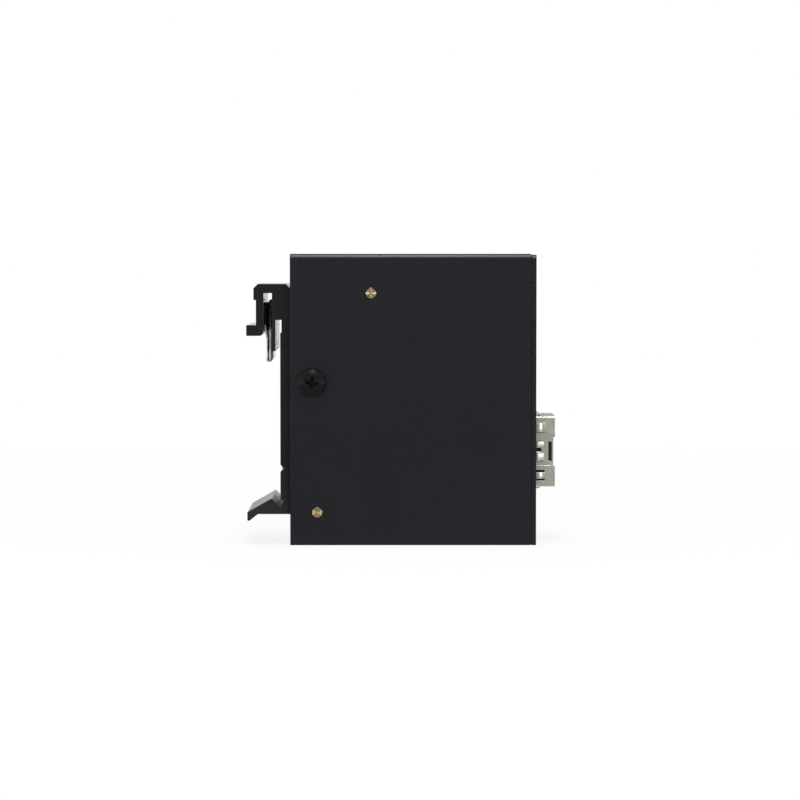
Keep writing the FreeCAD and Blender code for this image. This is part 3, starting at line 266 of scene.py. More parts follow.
def powder_coat():
    """Satin charcoal powder coat: orange peel, fine grain, and lighter on the edges, where the coat is thin
    and a highlight is painted.
    """
    finish = Finish("powder_coat")
    base = (0.0098, 0.0093, 0.0131)
    grain = finish.patches(per_mm=9.0, detail=2.0)
    peel = finish.noise(per_mm=1.6, detail=2.0)
    ground = finish.tones(finish.patches(per_mm=0.06, detail=2.0), base, 0.92, 1.08)
    speckled = finish.mix(finish.times(grain, 0.35), ground, shade(base, 1.45))
    # Lighter along the edges: partly the thin coat there, partly a painted highlight.
    finish.colour(finish.edged(speckled, radius_mm=0.25, share=0.5, edge=shade(base, 2.2)))
    finish.rough(finish.spread(finish.times(peel, grain), 0.27, 0.37, start=0.1, stop=0.6))
    finish.relief(finish.plus(peel, finish.times(grain, 0.25)), depth_mm=0.0045, edge_mm=0.12)
    finish.set(Specular_IOR_Level=0.3)
    return finish.material


def anodised_clip():
    """Black anodised extrusion: draw lines, painted shade in its corners, worn edges and a lip scuffed by
    the rail.
    """
    finish = Finish("anodised_clip")
    base = (0.0075, 0.0078, 0.0088)
    bare = (0.16, 0.16, 0.165, 1.0)
    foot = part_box("rail_clip")[0].z
    scuff_heights = (foot + 2.8 * MM, foot + 11.8 * MM)
    lines = finish.noise(per_mm=3.5, detail=3.0, stretch=(1, 0.03, 1))
    clean = finish.tones(finish.patches(per_mm=0.15, detail=2.0), base, 0.85, 1.2)
    scuffed = finish.spread(finish.axis("Z"), 1.0, 0.0, *scuff_heights)
    rubbed = finish.mix(scuffed, clean, shade(base, 2.2))
    # Painted shade: the colour goes nearly black deep in the corners, next to the case's wall.
    ground = finish.mix(finish.corner_shade(reach_mm=2.5), rubbed, shade(base, 0.1))
    wear = finish.spread(finish.noise(per_mm=0.9, detail=3.0), 0.0, 0.5)
    finish.colour(finish.mix(finish.times(finish.edges(radius_mm=0.18), wear), ground, bare))
    finish.rough(finish.plus(finish.spread(lines, 0.12, 0.19), finish.times(scuffed, 0.15)))
    finish.relief(lines, depth_mm=0.0012, edge_mm=0.1)
    finish.set(Specular_IOR_Level=0.36)
    return finish.material


def black_oxide():
    """Black oxidised screw, oily in places, lighter on the edges of its recess: partly worn bare, partly a
    painted glint.
    """
    finish = Finish("black_oxide")
    base = (0.0075, 0.0075, 0.0079)
    wear_and_painted_glint = (0.10, 0.10, 0.105, 1.0)
    pits = finish.noise(per_mm=6.0, detail=4.0)
    ground = finish.tones(finish.spread(pits, 0.0, 1.0), base, 0.7, 1.6)
    # Lighter along the edges: partly worn bare metal, partly a painted glint.
    finish.colour(finish.edged(ground, radius_mm=0.1, share=0.6, edge=wear_and_painted_glint))
    finish.rough(finish.spread(finish.noise(per_mm=2.5, detail=2.0), 0.26, 0.42))
    finish.relief(pits, depth_mm=0.006, edge_mm=0.05)
    finish.set(Specular_IOR_Level=0.10)
    return finish.material


def plated(name, base, rough, per_mm, depth_mm, stretch=(1, 1, 1), edge_mm=0.06, painted_top_shade=0.0):
    """Plated metal with rolling or draw lines, a painted highlight on its edges and perhaps painted shade on
    its upper faces.
    """
    finish = Finish(name)
    top_shade_colour = (0.05, 0.05, 0.045, 1.0)
    lines = finish.noise(per_mm, detail=4.0, stretch=stretch)
    cloud = finish.patches(per_mm=0.35, detail=3.0)
    ground = finish.tones(cloud, base, 0.9, 1.08)
    streaked = finish.mix(finish.spread(lines, 0.0, 0.4), ground, shade(base, 0.82))
    # Lighter along the edges: a painted highlight.
    colour = finish.edged(streaked, radius_mm=0.12, share=0.6, edge=shade(base, 1.3))
    gloss = finish.spread(finish.times(lines, cloud), *rough, start=0.1, stop=0.6)
    finish.set(Metallic=1.0)
    # Painted shade: upward faces are darkened towards near black, and made duller and less metallic.
    if painted_top_shade:
        top_shaded = finish.spread(finish.facing("Z"), 0.0, painted_top_shade, start=0.5, stop=0.9)
        colour = finish.mix(top_shaded, colour, top_shade_colour)
        gloss = finish.plus(gloss, finish.times(top_shaded, 0.25))
        finish.bare(top_shaded)
    finish.colour(colour)
    finish.rough(gloss)
    finish.relief(lines, depth_mm, edge_mm)
    return finish.material


def pillar_axes():
    """The axes of the two brass pillars as (x, z): the upper one is nearer the front."""
    low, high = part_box("standoffs")
    across_flats = 5.0 * MM
    flat = across_flats / 2
    corner = across_flats / math.sqrt(3)
    return (high.x - flat, high.z - corner), (low.x + flat, low.z + corner)


def turned_brass():
    """Brass faced on a lathe: fine rings about each pillar's own axis, and a painted shadow in a ring at its
    edge.
    """
    finish = Finish("turned_brass")
    base = (0.56, 0.45, 0.24)
    ring_pitch = 0.11 * MM
    shaded_rim = (1.02 * MM, 1.16 * MM)
    upper, lower = pillar_axes()
    reach = finish.calc("MINIMUM", finish.distance(*upper), finish.distance(*lower))
    waves = finish.calc("SINE", finish.times(reach, 2 * math.pi / ring_pitch))
    rings = finish.spread(waves, 0.0, 1.0, start=-1.0, stop=1.0)
    tarnish = finish.patches(per_mm=2.2, detail=3.0)
    toned = finish.tones(tarnish, base, 0.9, 1.08)
    ringed = finish.mix(finish.times(rings, 0.3), toned, shade(base, 0.62))
    # Painted shadow: the colour goes dark in a ring at the edge of each pillar's face, for the gap round it.
    finish.colour(finish.mix(finish.spread(reach, 0.0, 1.0, *shaded_rim), ringed, shade(base, 0.15)))
    finish.rough(finish.spread(tarnish, 0.18, 0.29, start=0.0, stop=1.0))
    finish.relief(rings, depth_mm=0.017)
    finish.set(Metallic=1.0)
    return finish.material


def spring_shade(finish):
    """Painted shade on the spring: in the clip's slot, on its edges towards the slit and on the inner faces
    of the hairpin.
    """
    low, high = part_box("clip_spring")
    slit_x = high.x - SPRING_STRIP - HAIRPIN_INNER
    between_legs = (slit_x - 0.1 * MM, slit_x + 0.2 * MM)
    slot_shade_start = (low.z + 6.0 * MM, low.z + 7.6 * MM)
    hairpin_shade_start = (low.z + 1.6 * MM, low.z + 2.8 * MM)
    hairpin_shade_share = 0.39
    outer_edge_shade = 0.12
    inner_edge_shade = 0.9
    ragged_by = 0.6 * MM
    face_depth = 0.1 * MM
    rags = finish.spread(finish.noise(per_mm=0.8, detail=3.0), -ragged_by, ragged_by)
    height = finish.plus(finish.axis("Z"), rags)
    # Painted shade in the clip's slot, from a ragged height upwards.
    slot_shade = finish.spread(height, 0.0, 1.0, *slot_shade_start)
    # Painted shade on the edges that face along Y: light at the outer leg, dark towards the slit.
    edge = finish.spread(finish.calc("POWER", finish.facing("Y"), 2.0), 0.0, 1.0, start=0.25, stop=0.7)
    edge_shade_level = finish.spread(finish.axis("X"), outer_edge_shade, inner_edge_shade, *between_legs)
    # Painted shade on the inner faces of the hairpin, above its bend.
    inwards = finish.times(finish.minus(slit_x, finish.axis("X")), finish.facing("X"))
    inside = finish.spread(inwards, 0.0, 1.0, start=0.0, stop=face_depth)
    hairpin_shade = finish.times(inside, finish.spread(height, 0.0, hairpin_shade_share, *hairpin_shade_start))
    return slot_shade, finish.times(edge, edge_shade_level), hairpin_shade


def spring_strip():
    """Hardened strip, rubbed bright along its length, and dark and dull where painted shade lies."""
    finish = Finish("spring_strip")
    bright = (0.60, 0.57, 0.52)
    dark = (0.003, 0.003, 0.0035, 1.0)
    lines = finish.noise(per_mm=6.0, detail=4.0, stretch=(1, 1, 0.04))
    slot_shade, edge_shade, hairpin_shade = spring_shade(finish)
    shade_share = finish.larger(finish.larger(slot_shade, edge_shade), hairpin_shade)
    rubbed = finish.tones(finish.spread(lines, 0.0, 1.0), bright, 1.0, 1.34)
    # Painted shade: the colour goes near black where any of the masks above lies.
    finish.colour(finish.mix(shade_share, rubbed, dark))
    dull = finish.larger(finish.times(slot_shade, 0.7), finish.times(hairpin_shade, 0.14))
    finish.rough(finish.plus(finish.spread(lines, 0.10, 0.20), dull))
    finish.bare(shade_share)
    finish.relief(lines, depth_mm=0.001)
    return finish.material


def moulded(name, base, rough, per_mm, depth_mm):
    """Moulded plastic or epoxy with a fine spark texture and slightly cloudy pigment."""
    finish = Finish(name)
    spark = finish.noise(per_mm, detail=3.0)
    ground = finish.tones(finish.patches(per_mm=0.3, detail=2.0), base, 0.9, 1.1)
    finish.colour(finish.edged(ground, radius_mm=0.15, share=0.5, edge=shade(base, 1.6)))
    finish.rough(finish.spread(spark, *rough))
    finish.relief(spark, depth_mm, edge_mm=0.08)
    return finish.material


def solder_mask():
    """Green solder mask over glass weave, paler at the routed edge."""
    finish = Finish("solder_mask")
    base = (0.015, 0.10, 0.04)
    laminate = (0.32, 0.30, 0.12, 1.0)
    warp = finish.noise(per_mm=2.0, detail=1.0, stretch=(1, 1, 0.08))
    weft = finish.noise(per_mm=2.0, detail=1.0, stretch=(0.08, 1, 1))
    weave = finish.times(warp, weft)
    ground = finish.tones(finish.spread(weave, 0.0, 1.0, start=0.1, stop=0.5), base, 0.8, 1.25)
    finish.colour(finish.mix(finish.edges(radius_mm=0.3), ground, laminate))
    finish.rough(finish.spread(finish.noise(per_mm=1.2, detail=2.0), 0.22, 0.34))
    finish.relief(weave, depth_mm=0.01)
    return finish.material


def clear_moulding():
    """Clear moulding of the lights: slightly frosted."""
    finish = Finish("clear_moulding")
    base = (0.86, 0.90, 0.88)
    frost = finish.noise(per_mm=1.1, detail=2.0)
    finish.colour(finish.tones(finish.spread(frost, 0.0, 1.0), base, 0.95, 1.05))
    finish.rough(finish.spread(frost, 0.1, 0.2))
    finish.relief(frost, depth_mm=0.006, edge_mm=0.12)
    finish.set(Transmission_Weight=0.75, IOR=1.49)
    return finish.material


def capacitor_can():
    """Drawn aluminium can with a dark polarity mark on its upper part."""
    finish = Finish("capacitor_can")
    grey = (0.62, 0.63, 0.64, 1.0)
    pale = (0.72, 0.73, 0.74, 1.0)
    dark = (0.05, 0.05, 0.055, 1.0)
    low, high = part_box("capacitors")
    mark_height = (low.z + high.z) / 2 + 1.4 * MM
    lines = finish.noise(per_mm=4.0, detail=3.0, stretch=(1, 0.05, 1))
    drawn = finish.mix(finish.spread(lines, 0.0, 1.0), grey, pale)
    finish.colour(finish.mix(finish.calc("GREATER_THAN", finish.axis("Z"), mark_height), drawn, dark))
    finish.rough(finish.spread(lines, 0.24, 0.4))
    finish.relief(lines, depth_mm=0.004, edge_mm=0.1)
    finish.set(Metallic=0.9)
    return finish.material


def plated_metals():
    """The plated metals by their slots."""
    along_x = (0.05, 1, 1)
    return {
        "zinc_steel": plated(
            "zinc_plate", base=(0.56, 0.57, 0.60), rough=(0.22, 0.36), per_mm=5.0, depth_mm=0.004,
        ),
        "nickel_shield": plated(
            "nickel_sheet", base=(0.85, 0.84, 0.74), rough=(0.34, 0.46), per_mm=4.0, depth_mm=0.003,
            stretch=along_x, edge_mm=0.1, painted_top_shade=0.5,
        ),
        "contact_gold": plated(
            "gold_flash", base=(0.80, 0.58, 0.24), rough=(0.14, 0.24), per_mm=6.0, depth_mm=0.002,
            stretch=along_x,
        ),
        "tin_plate": plated(
            "tin_plate", base=(0.62, 0.62, 0.61), rough=(0.2, 0.34), per_mm=4.0, depth_mm=0.003,
        ),
    }


def mouldings():
    """The opaque plastics, packages and ferrite by their slots."""
    return {
        "insert_plastic": moulded(
            "black_insert", base=(0.015, 0.015, 0.016), rough=(0.42, 0.6), per_mm=7.0, depth_mm=0.012,
        ),
        "lamp_white": moulded(
            "lamp_package", base=(0.72, 0.70, 0.52), rough=(0.3, 0.45), per_mm=4.0, depth_mm=0.006,
        ),
        "terminal_plastic": moulded(
            "green_terminal", base=(0.035, 0.22, 0.09), rough=(0.34, 0.5), per_mm=6.0, depth_mm=0.01,
        ),
        "package_black": moulded(
            "epoxy_package", base=(0.017, 0.017, 0.018), rough=(0.5, 0.68), per_mm=9.0, depth_mm=0.01,
        ),
        "ferrite_grey": moulded(
            "pressed_ferrite", base=(0.045, 0.045, 0.048), rough=(0.55, 0.72), per_mm=8.0, depth_mm=0.02,
        ),
    }


def make_finishes():
    """One material for each slot of the record."""
    made = {
        "case_paint": powder_coat(),
        "clip_black": anodised_clip(),
        "black_screw": black_oxide(),
        "spring_steel": spring_strip(),
        "turned_brass": turned_brass(),
        "board_laminate": solder_mask(),
        "light_clear": clear_moulding(),
        "capacitor_can": capacitor_can(),
    }
    made.update(plated_metals())
    made.update(mouldings())
    return made


def dress(finishes):
    """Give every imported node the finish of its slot."""
    for entry in frame["record"]["subparts"]:
        node = frame["nodes"][entry["node"]]
        for holder in node.material_slots:
            holder.material = finishes[entry["material_slot"]]


def as_object(name, mesh):
    """A linked object from a bmesh."""
    data = bpy.data.meshes.new(name)
    mesh.to_mesh(data)
    mesh.free()
    made = bpy.data.objects.new(name, data)
    bpy.context.scene.collection.objects.link(made)
    return made


# Screws: finer heads, tapered cross recesses and cut threads in place of the plain solids. The mouth and the
# floor of a recess are pairs: the span of the cross, and the width of a wing.
SCREW_SEGMENTS = 72
THREAD_PITCH = 0.5 * MM
THREAD_DEPTH = 0.27 * MM
RECESS_MOUTH = (3.1 * MM, 0.95 * MM)
RECESS_FLOOR = (1.5 * MM, 0.55 * MM)
RECESS_DEPTH = 1.25 * MM
CUTTER_OVERRUN = 0.25
EDGE_BREAK = 0.05 * MM
BROKEN_ANGLE = math.radians(50)
SCREW_SHARP_ANGLE = math.radians(30)

# Pan heads: length and side as shares of the head's rise, crown and thread as shares of its radius.
PAN_LENGTH = 2.5
PAN_SIDE = 0.42
PAN_CROWN = 0.3
PAN_THREAD = 0.5
PAN_RIM = 0.08 * MM
PAN_TURNS = (math.radians(-10), math.radians(25))
DOME_STEPS = 12

# Countersunk heads: sizes and turns.
FLAT_THREAD = 1.5 * MM
FLAT_HEAD_DEPTH = 1.6 * MM
FLAT_RIM = 0.06 * MM
FLAT_TURNS = (math.radians(18), math.radians(-31))


def thread_profile(radius, start, stop):
    """(radius, height) points of a cut thread from start up to stop."""
    points = []
    height = start
    while height + THREAD_PITCH <= stop:
        points += [(radius - THREAD_DEPTH, height), (radius, height + THREAD_PITCH / 2)]
        height += THREAD_PITCH
    return points + [(radius - THREAD_DEPTH, height)]


def pan_profile(radius, rise):
    """(radius, height) points of a pan-head screw, whose head stands on height 0."""
    length = PAN_LENGTH * rise
    side = PAN_SIDE * rise
    crown = PAN_CROWN * radius
    profile = [(0, -length)] + thread_profile(PAN_THREAD * radius, -length, 0)
    profile += [(radius - PAN_RIM, 0), (radius, PAN_RIM)]
    for step in range(DOME_STEPS + 1):
        angle = math.pi / 2 * step / DOME_STEPS
        profile.append((crown + (radius - crown) * math.cos(angle), side + (rise - side) * math.sin(angle)))
    return profile + [(0, rise)]


def flat_profile(radius, length):
    """(radius, height) points of a countersunk screw, whose head ends at height 0."""
    profile = [(0, -length)] + thread_profile(FLAT_THREAD, -length, -FLAT_HEAD_DEPTH)
    profile += [(FLAT_THREAD, -FLAT_HEAD_DEPTH), (radius, -FLAT_RIM), (radius - FLAT_RIM, 0)]
    return profile + [(0, 0)]


def turn(profile):
    """A closed lathe mesh about Z from (radius, height) points; the first and last lie on the axis."""
    # Half a segment on, so that no edge of a head's top runs into a corner of the recess.
    angles = [2 * math.pi * (index + 0.5) / SCREW_SEGMENTS for index in range(SCREW_SEGMENTS)]
    mesh = bmesh.new()
    rings = []
    for radius, height in profile:
        if radius == 0:
            rings.append([mesh.verts.new((0, 0, height))])
            continue
        rings.append([mesh.verts.new((radius * math.cos(a), radius * math.sin(a), height)) for a in angles])
    for lower, upper in zip(rings, rings[1:]):
        for index in range(SCREW_SEGMENTS):
            after = (index + 1) % SCREW_SEGMENTS
            if len(lower) == 1:
                mesh.faces.new((lower[0], upper[after], upper[index]))
            elif len(upper) == 1:
                mesh.faces.new((lower[index], lower[after], upper[0]))
            else:
                mesh.faces.new((lower[index], lower[after], upper[after], upper[index]))
    bmesh.ops.recalc_face_normals(mesh, faces=mesh.faces)
    return mesh


def close_tube(mesh, rings):
    """Join rings of equal length with side faces and close both ends."""
    count = len(rings[0])
    for first, second in zip(rings, rings[1:]):
        for index in range(count):
            after = (index + 1) % count
            mesh.faces.new((first[index], first[after], second[after], second[index]))
    mesh.faces.new(rings[0])
    mesh.faces.new(reversed(rings[-1]))


def cross_cutter(top):
    """A tapered cross that reaches from above a head's top down to the floor of its recess."""
    mesh = bmesh.new()
    rings = []
    for share in (-CUTTER_OVERRUN, 1.0):
        height = top - RECESS_DEPTH * share
        tip = (RECESS_MOUTH[0] + (RECESS_FLOOR[0] - RECESS_MOUTH[0]) * share) / 2
        side = (RECESS_MOUTH[1] + (RECESS_FLOOR[1] - RECESS_MOUTH[1]) * share) / 2
        wing = [(tip, -side), (tip, side), (side, side)]
        ring = []
        for quarter in range(4):
            spin = Matrix.Rotation(math.pi / 2 * quarter, 3, "Z")
            ring += [mesh.verts.new(spin @ Vector((u, v, height))) for u, v in wing]
        rings.append(ring)
    close_tube(mesh, rings)
    bmesh.ops.recalc_face_normals(mesh, faces=mesh.faces)
    return mesh


def recessed_screw(name, profile, top):
    """Mesh of one screw along Z, its recess cut and its edges slightly broken."""
    blank = as_object(name + "_blank", turn(profile))
    cutter = as_object(name + "_cutter", cross_cutter(top))
    recess = blank.modifiers.new("recess", "BOOLEAN")
    recess.operation = "DIFFERENCE"
    recess.solver = "EXACT"
    recess.object = cutter
    broken = blank.modifiers.new("broken_edges", "BEVEL")
    broken.width = EDGE_BREAK
    broken.segments = 1
    broken.limit_method = "ANGLE"
    broken.angle_limit = BROKEN_ANGLE
    ready = bpy.context.evaluated_depsgraph_get()
    data = bpy.data.meshes.new_from_object(blank.evaluated_get(ready))
    for spare in (blank, cutter):
        bpy.data.objects.remove(spare)
    return data


def set_of_screws(name, data, places, node, finish):
    """One piece from several placed copies of a screw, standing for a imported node."""
    group = bmesh.new()
    for place in places:
        copy = data.copy()
        copy.transform(place)
        group.from_mesh(copy)
        bpy.data.meshes.remove(copy)
    piece = as_object(name, group)
    piece.data.materials.append(finish)
    piece.data.shade_smooth()
    piece.data.set_sharp_from_angle(angle=SCREW_SHARP_ANGLE)
    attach(piece, "root")
    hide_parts(node)


def make_cover_screws(finish):
    """Black pan heads in the two side walls."""
    low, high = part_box("cover_screws")
    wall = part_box("cover")[1].y
    rise = high.y - wall
    data = recessed_screw("pan_screw", pan_profile((high.x - low.x) / 2, rise), rise)
    x = (low.x + high.x) / 2
    z = (low.z + high.z) / 2
    places = []
    for side, angle in zip((-1, 1), PAN_TURNS):
        outwards = Matrix.Rotation(-side * math.pi / 2, 4, "X")
        places.append(Matrix.Translation((x, side * wall, z)) @ outwards @ Matrix.Rotation(angle, 4, "Z"))
    set_of_screws("pan_screws", data, places, "cover_screws", finish)


def make_clip_screws(finish):
    """Countersunk heads in the back of the rail clip."""
    low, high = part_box("clip_screws")
    radius = high.y
    data = recessed_screw("flat_screw", flat_profile(radius, high.x - low.x), 0)
    backwards = Matrix.Rotation(-math.pi / 2, 4, "Y")
    places = []
    for z, angle in zip((low.z + radius, high.z - radius), FLAT_TURNS):
        places.append(Matrix.Translation((low.x, 0, z)) @ backwards @ Matrix.Rotation(angle, 4, "Z"))
    set_of_screws("flat_screws", data, places, "clip_screws", finish)


# Bent strips: the hairpin spring and the fingers of the two metal shells. A strip's line lies in X and Y and
# its width along Z. IN_XZ swaps Y and Z.
STRIP_EDGE_STEPS = 5
CORNER_STEPS = 6
STRIP_SHARP_ANGLE = math.radians(50)
IN_XZ = Matrix(((1, 0, 0, 0), (0, 0, 1, 0), (0, 1, 0, 0), (0, 0, 0, 1)))


def round_corner(before, corner, after, cut):
    """Points of a smooth curve that takes the place of a corner."""
    start = corner + (before - corner).normalized() * cut
    stop = corner + (after - corner).normalized() * cut
    points = []
    for step in range(CORNER_STEPS + 1):
        share = step / CORNER_STEPS
        points.append(start.lerp(corner, share).lerp(corner.lerp(stop, share), share))
    return points


def round_line(corners, cut):
    """A bent line with every inner corner rounded."""
    line = [corners[0]]
    for before, corner, after in zip(corners, corners[1:], corners[2:]):
        line += round_corner(before, corner, after, cut)
    return line + [corners[-1]]


def strip_section(thickness, width):
    """Outline of a strip as (across, along): flat faces and half-round edges."""
    half = thickness / 2
    reach = width / 2 - half
    points = []
    for end in (1, -1):
        for step in range(STRIP_EDGE_STEPS + 1):
            angle = math.pi * step / STRIP_EDGE_STEPS
            points.append((end * half * math.cos(angle), end * (reach + half * math.sin(angle))))
    return points


def add_strip(mesh, line, thickness, width, place):
    """Add a strip bent along a plane line to a mesh; place turns line and width into the frame."""
    section = strip_section(thickness, width)
    rings = []
    for index, point in enumerate(line):
        before = line[max(index - 1, 0)]
        after = line[min(index + 1, len(line) - 1)]
        along = (after - before).normalized()
        side = Vector((along.y, -along.x))
        spots = [(point + side * across, reach) for across, reach in section]
        rings.append([mesh.verts.new(place @ Vector((spot.x, spot.y, reach))) for spot, reach in spots])
    close_tube(mesh, rings)


def finish_strips(name, mesh, finish):
    """A piece of bent strips, smooth along the bends."""
    bmesh.ops.recalc_face_normals(mesh, faces=mesh.faces)
    piece = as_object(name, mesh)
    piece.data.materials.append(finish)
    piece.data.shade_smooth()
    piece.data.set_sharp_from_angle(angle=STRIP_SHARP_ANGLE)
    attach(piece, "root")
    return piece


# Hairpin spring: the flare of its outer leg starts and stops at heights above the lowest point.
SPRING_WIDTH = 23.4 * MM
HAIRPIN_HOOK = 0.4 * MM
HAIRPIN_STEPS = 14
FLARE_START = 5.42 * MM
FLARE_STOP = 7.62 * MM
FLARE_ROUND = 0.6 * MM
OUTER_LEG_SHORT = 0.8 * MM
OUTER_LEG_LEAN = 0.24 * MM


def spring_line():
    """Middle line of the spring as (x, z), from the outer leg's end round the bend to the hook."""
    low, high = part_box("clip_spring")
    half = SPRING_STRIP / 2
    radius = HAIRPIN_INNER + half
    inner = high.x - half
    outer = low.x + half
    middle = inner - radius
    bend = low.z + radius + half
    line = round_line([
        Vector((outer + OUTER_LEG_LEAN, high.z - OUTER_LEG_SHORT)),
        Vector((outer + OUTER_LEG_LEAN / 2, low.z + FLARE_STOP)),
        Vector((middle - radius, low.z + FLARE_START)),
        Vector((middle - radius, bend + half)),
    ], FLARE_ROUND)
    for step in range(HAIRPIN_STEPS + 1):
        angle = math.pi + math.pi * step / HAIRPIN_STEPS
        line.append(Vector((middle + radius * math.cos(angle), bend + radius * math.sin(angle))))
    return line + round_line([
        Vector((inner, bend + half)),
        Vector((inner, high.z - HAIRPIN_HOOK - half)),
        Vector((inner - HAIRPIN_HOOK, high.z - half)),
    ], HAIRPIN_HOOK / 2)


def make_spring(finish):
    """The clip's hairpin spring, with drawn edges and soft bends."""
    mesh = bmesh.new()
    add_strip(mesh, spring_line(), SPRING_STRIP, SPRING_WIDTH, IN_XZ)
    spring = finish_strips("hairpin_spring", mesh, finish)
    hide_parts("clip_spring")


# Fingers on the shield of the network socket. Reaches are measured forwards from the panel. A finger on a
# side is a pair: its height above the socket's middle, and its width.
SHIELD_BULGE = 0.28 * MM
FINGER_FOIL = 0.14 * MM
FINGER_LIFT = 0.03 * MM
FINGER_ROUND = 0.22 * MM
FINGER_TAIL = -0.90 * MM
SIDE_ROOT = 2.28 * MM
SIDE_RAMP = (1.70 * MM, 1.20 * MM)
SIDE_CREST_END = 0.50 * MM
SIDE_FINGERS = ((5.27 * MM, 2.15 * MM), (-5.28 * MM, 1.42 * MM))
FAR_FINGERS = ((5.21 * MM, 1.42 * MM), (-5.21 * MM, 1.42 * MM))
KEY_ROOT = 2.10 * MM
KEY_SINK = 0.10 * MM
KEY_RAMP = (1.72 * MM, 0.70 * MM)
KEY_SLOPE_END = -0.30 * MM
KEY_FINGERS = ((1.62 * MM, 1.30 * MM), (-1.10 * MM, 1.62 * MM))
LEAF_ROOT = 1.80 * MM
LEAF_RAMP = (1.55 * MM, 1.05 * MM)
LEAF_CREST_END = 0.40 * MM
LEAF_BULGE = 0.55 * MM
LEAF_WIDTH = 1.6 * MM
LEAF_OFFSET = 2.9 * MM


def bowed(front, surface, crest, root, ramp_ends, crest_end):
    """Line of a bowed finger: flat root, ramp, crest and a long slope back under the panel."""
    lift = surface + math.copysign(FINGER_LIFT, crest - surface)
    return round_line([
        Vector((front + root, lift)),
        Vector((front + ramp_ends[0], lift)),
        Vector((front + ramp_ends[1], crest)),
        Vector((front + crest_end, crest)),
        Vector((front + FINGER_TAIL, surface)),
    ], FINGER_ROUND)


def side_finger(front, surface, crest):
    """Line of a finger on one of the two sides."""
    return bowed(front, surface, crest, SIDE_ROOT, SIDE_RAMP, SIDE_CREST_END)


def top_leaf(front, surface, crest):
    """Line of a leaf on the top or the bottom, which stands prouder in front of the panel."""
    return bowed(front, surface, crest, LEAF_ROOT, LEAF_RAMP, LEAF_CREST_END)


def key_finger(front, surface, crest):
    """Line of a finger in the latch recess: two slopes that meet in a rounded ridge."""
    return round_line([
        Vector((front + KEY_ROOT, surface + KEY_SINK)),
        Vector((front + KEY_RAMP[0], surface)),
        Vector((front + KEY_RAMP[1], crest)),
        Vector((front + KEY_SLOPE_END, surface)),
        Vector((front + FINGER_TAIL, surface)),
    ], FINGER_ROUND)


def make_shield_fingers(finish):
    """Leaves over the plain fingers on both sides, in the latch recess, and on the top and bottom."""
    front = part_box("chassis")[1].x
    low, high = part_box("jack_shield")
    near = low.y + SHIELD_BULGE
    far = high.y - SHIELD_BULGE
    middle_y = (near + far) / 2
    middle_z = (low.z + high.z) / 2
    mesh = bmesh.new()
    rows = (
        (side_finger(front, near, low.y), SIDE_FINGERS),
        (key_finger(front, near, low.y), KEY_FINGERS),
        (side_finger(front, far, high.y), FAR_FINGERS),
    )
    for line, fingers in rows:
        for height, width in fingers:
            add_strip(mesh, line, FINGER_FOIL, width, Matrix.Translation((0, 0, middle_z + height)))
    for surface, outwards in ((high.z - SHIELD_BULGE, 1), (low.z + SHIELD_BULGE, -1)):
        line = top_leaf(front, surface, surface + LEAF_BULGE * outwards)
        for offset in (-LEAF_OFFSET, LEAF_OFFSET):
            place = Matrix.Translation((0, middle_y + offset, 0)) @ IN_XZ
            add_strip(mesh, line, FINGER_FOIL, LEAF_WIDTH, place)
    finish_strips("shield_fingers", mesh, finish)


# Contact leaves between the mouth of the optics cage and the panel. Depths are measured back from the panel.
GASKET_FOIL = 0.1 * MM
GASKET_LEAF = 1.7 * MM
GASKET_BULGE = 0.24 * MM
GASKET_CREST = (0.5 * MM, 1.3 * MM)
GASKET_DEPTH = 2.6 * MM
GASKET_ROUND = 0.2 * MM
LEAVES_ALONG = 5
LEAVES_ACROSS = 3


def gasket_line(front):
    """Line of a contact leaf as (x, distance off the side of the cage)."""
    half = GASKET_FOIL / 2
    return round_line([
        Vector((front, half)),
        Vector((front - GASKET_CREST[0], GASKET_BULGE)),
        Vector((front - GASKET_CREST[1], GASKET_BULGE)),
        Vector((front - GASKET_DEPTH, half)),
    ], GASKET_ROUND)


def make_cage_gasket(finish):
    """Bowed contact leaves all round the mouth of the optics cage."""
    line = gasket_line(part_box("chassis")[1].x)
    low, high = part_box("optics_cage")
    middle_y = (low.y + high.y) / 2
    middle_z = (low.z + high.z) / 2
    centre = Matrix.Translation((0, middle_y, middle_z))
    sides = (
        (high.y - middle_y, high.z - low.z, LEAVES_ALONG, 0),
        (high.z - middle_z, high.y - low.y, LEAVES_ACROSS, 1),
    )
    mesh = bmesh.new()
    for reach, span, count, turned in sides:
        for half_turn in (0, 2):
            spin = Matrix.Rotation(math.pi / 2 * (turned + half_turn), 4, "X")
            for index in range(count):
                along = span * ((index + 0.5) / count - 0.5)
                place = centre @ spin @ Matrix.Translation((0, reach, along))
                add_strip(mesh, line, GASKET_FOIL, GASKET_LEAF, place)
    finish_strips("cage_gasket", mesh, finish)


def photo_point(px, py):
    """Where a pixel of the photograph falls on the plane of the visible wall."""
    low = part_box("cover")[0]
    x = low.x + (px - CASE_LEFT_PX) / WALL_PX_PER_MM * MM
    z = (CASE_BOTTOM_PX - py) / WALL_PX_PER_MM * MM
    return Vector((x, low.y, z))


def make_camera():
    """The photograph's camera: level with its vanishing point, aimed at the middle of the image."""
    target = photo_point(IMAGE_PX / 2, IMAGE_PX / 2)
    eye = photo_point(*VANISHING_PX) - Vector((0, EYE_TO_WALL_MM * MM, 0))
    sight = target - eye
    data = bpy.data.cameras.new("camera")
    data.sensor_width = SENSOR_MM
    data.lens = WALL_PX_PER_MM * sight.length / MM / IMAGE_PX * SENSOR_MM
    data.clip_start = CLIP_START
    camera = bpy.data.objects.new("camera", data)
    camera.location = eye
    camera.rotation_euler = sight.to_track_quat("-Z", "Y").to_euler()
    bpy.context.scene.collection.objects.link(camera)
    bpy.context.scene.camera = camera


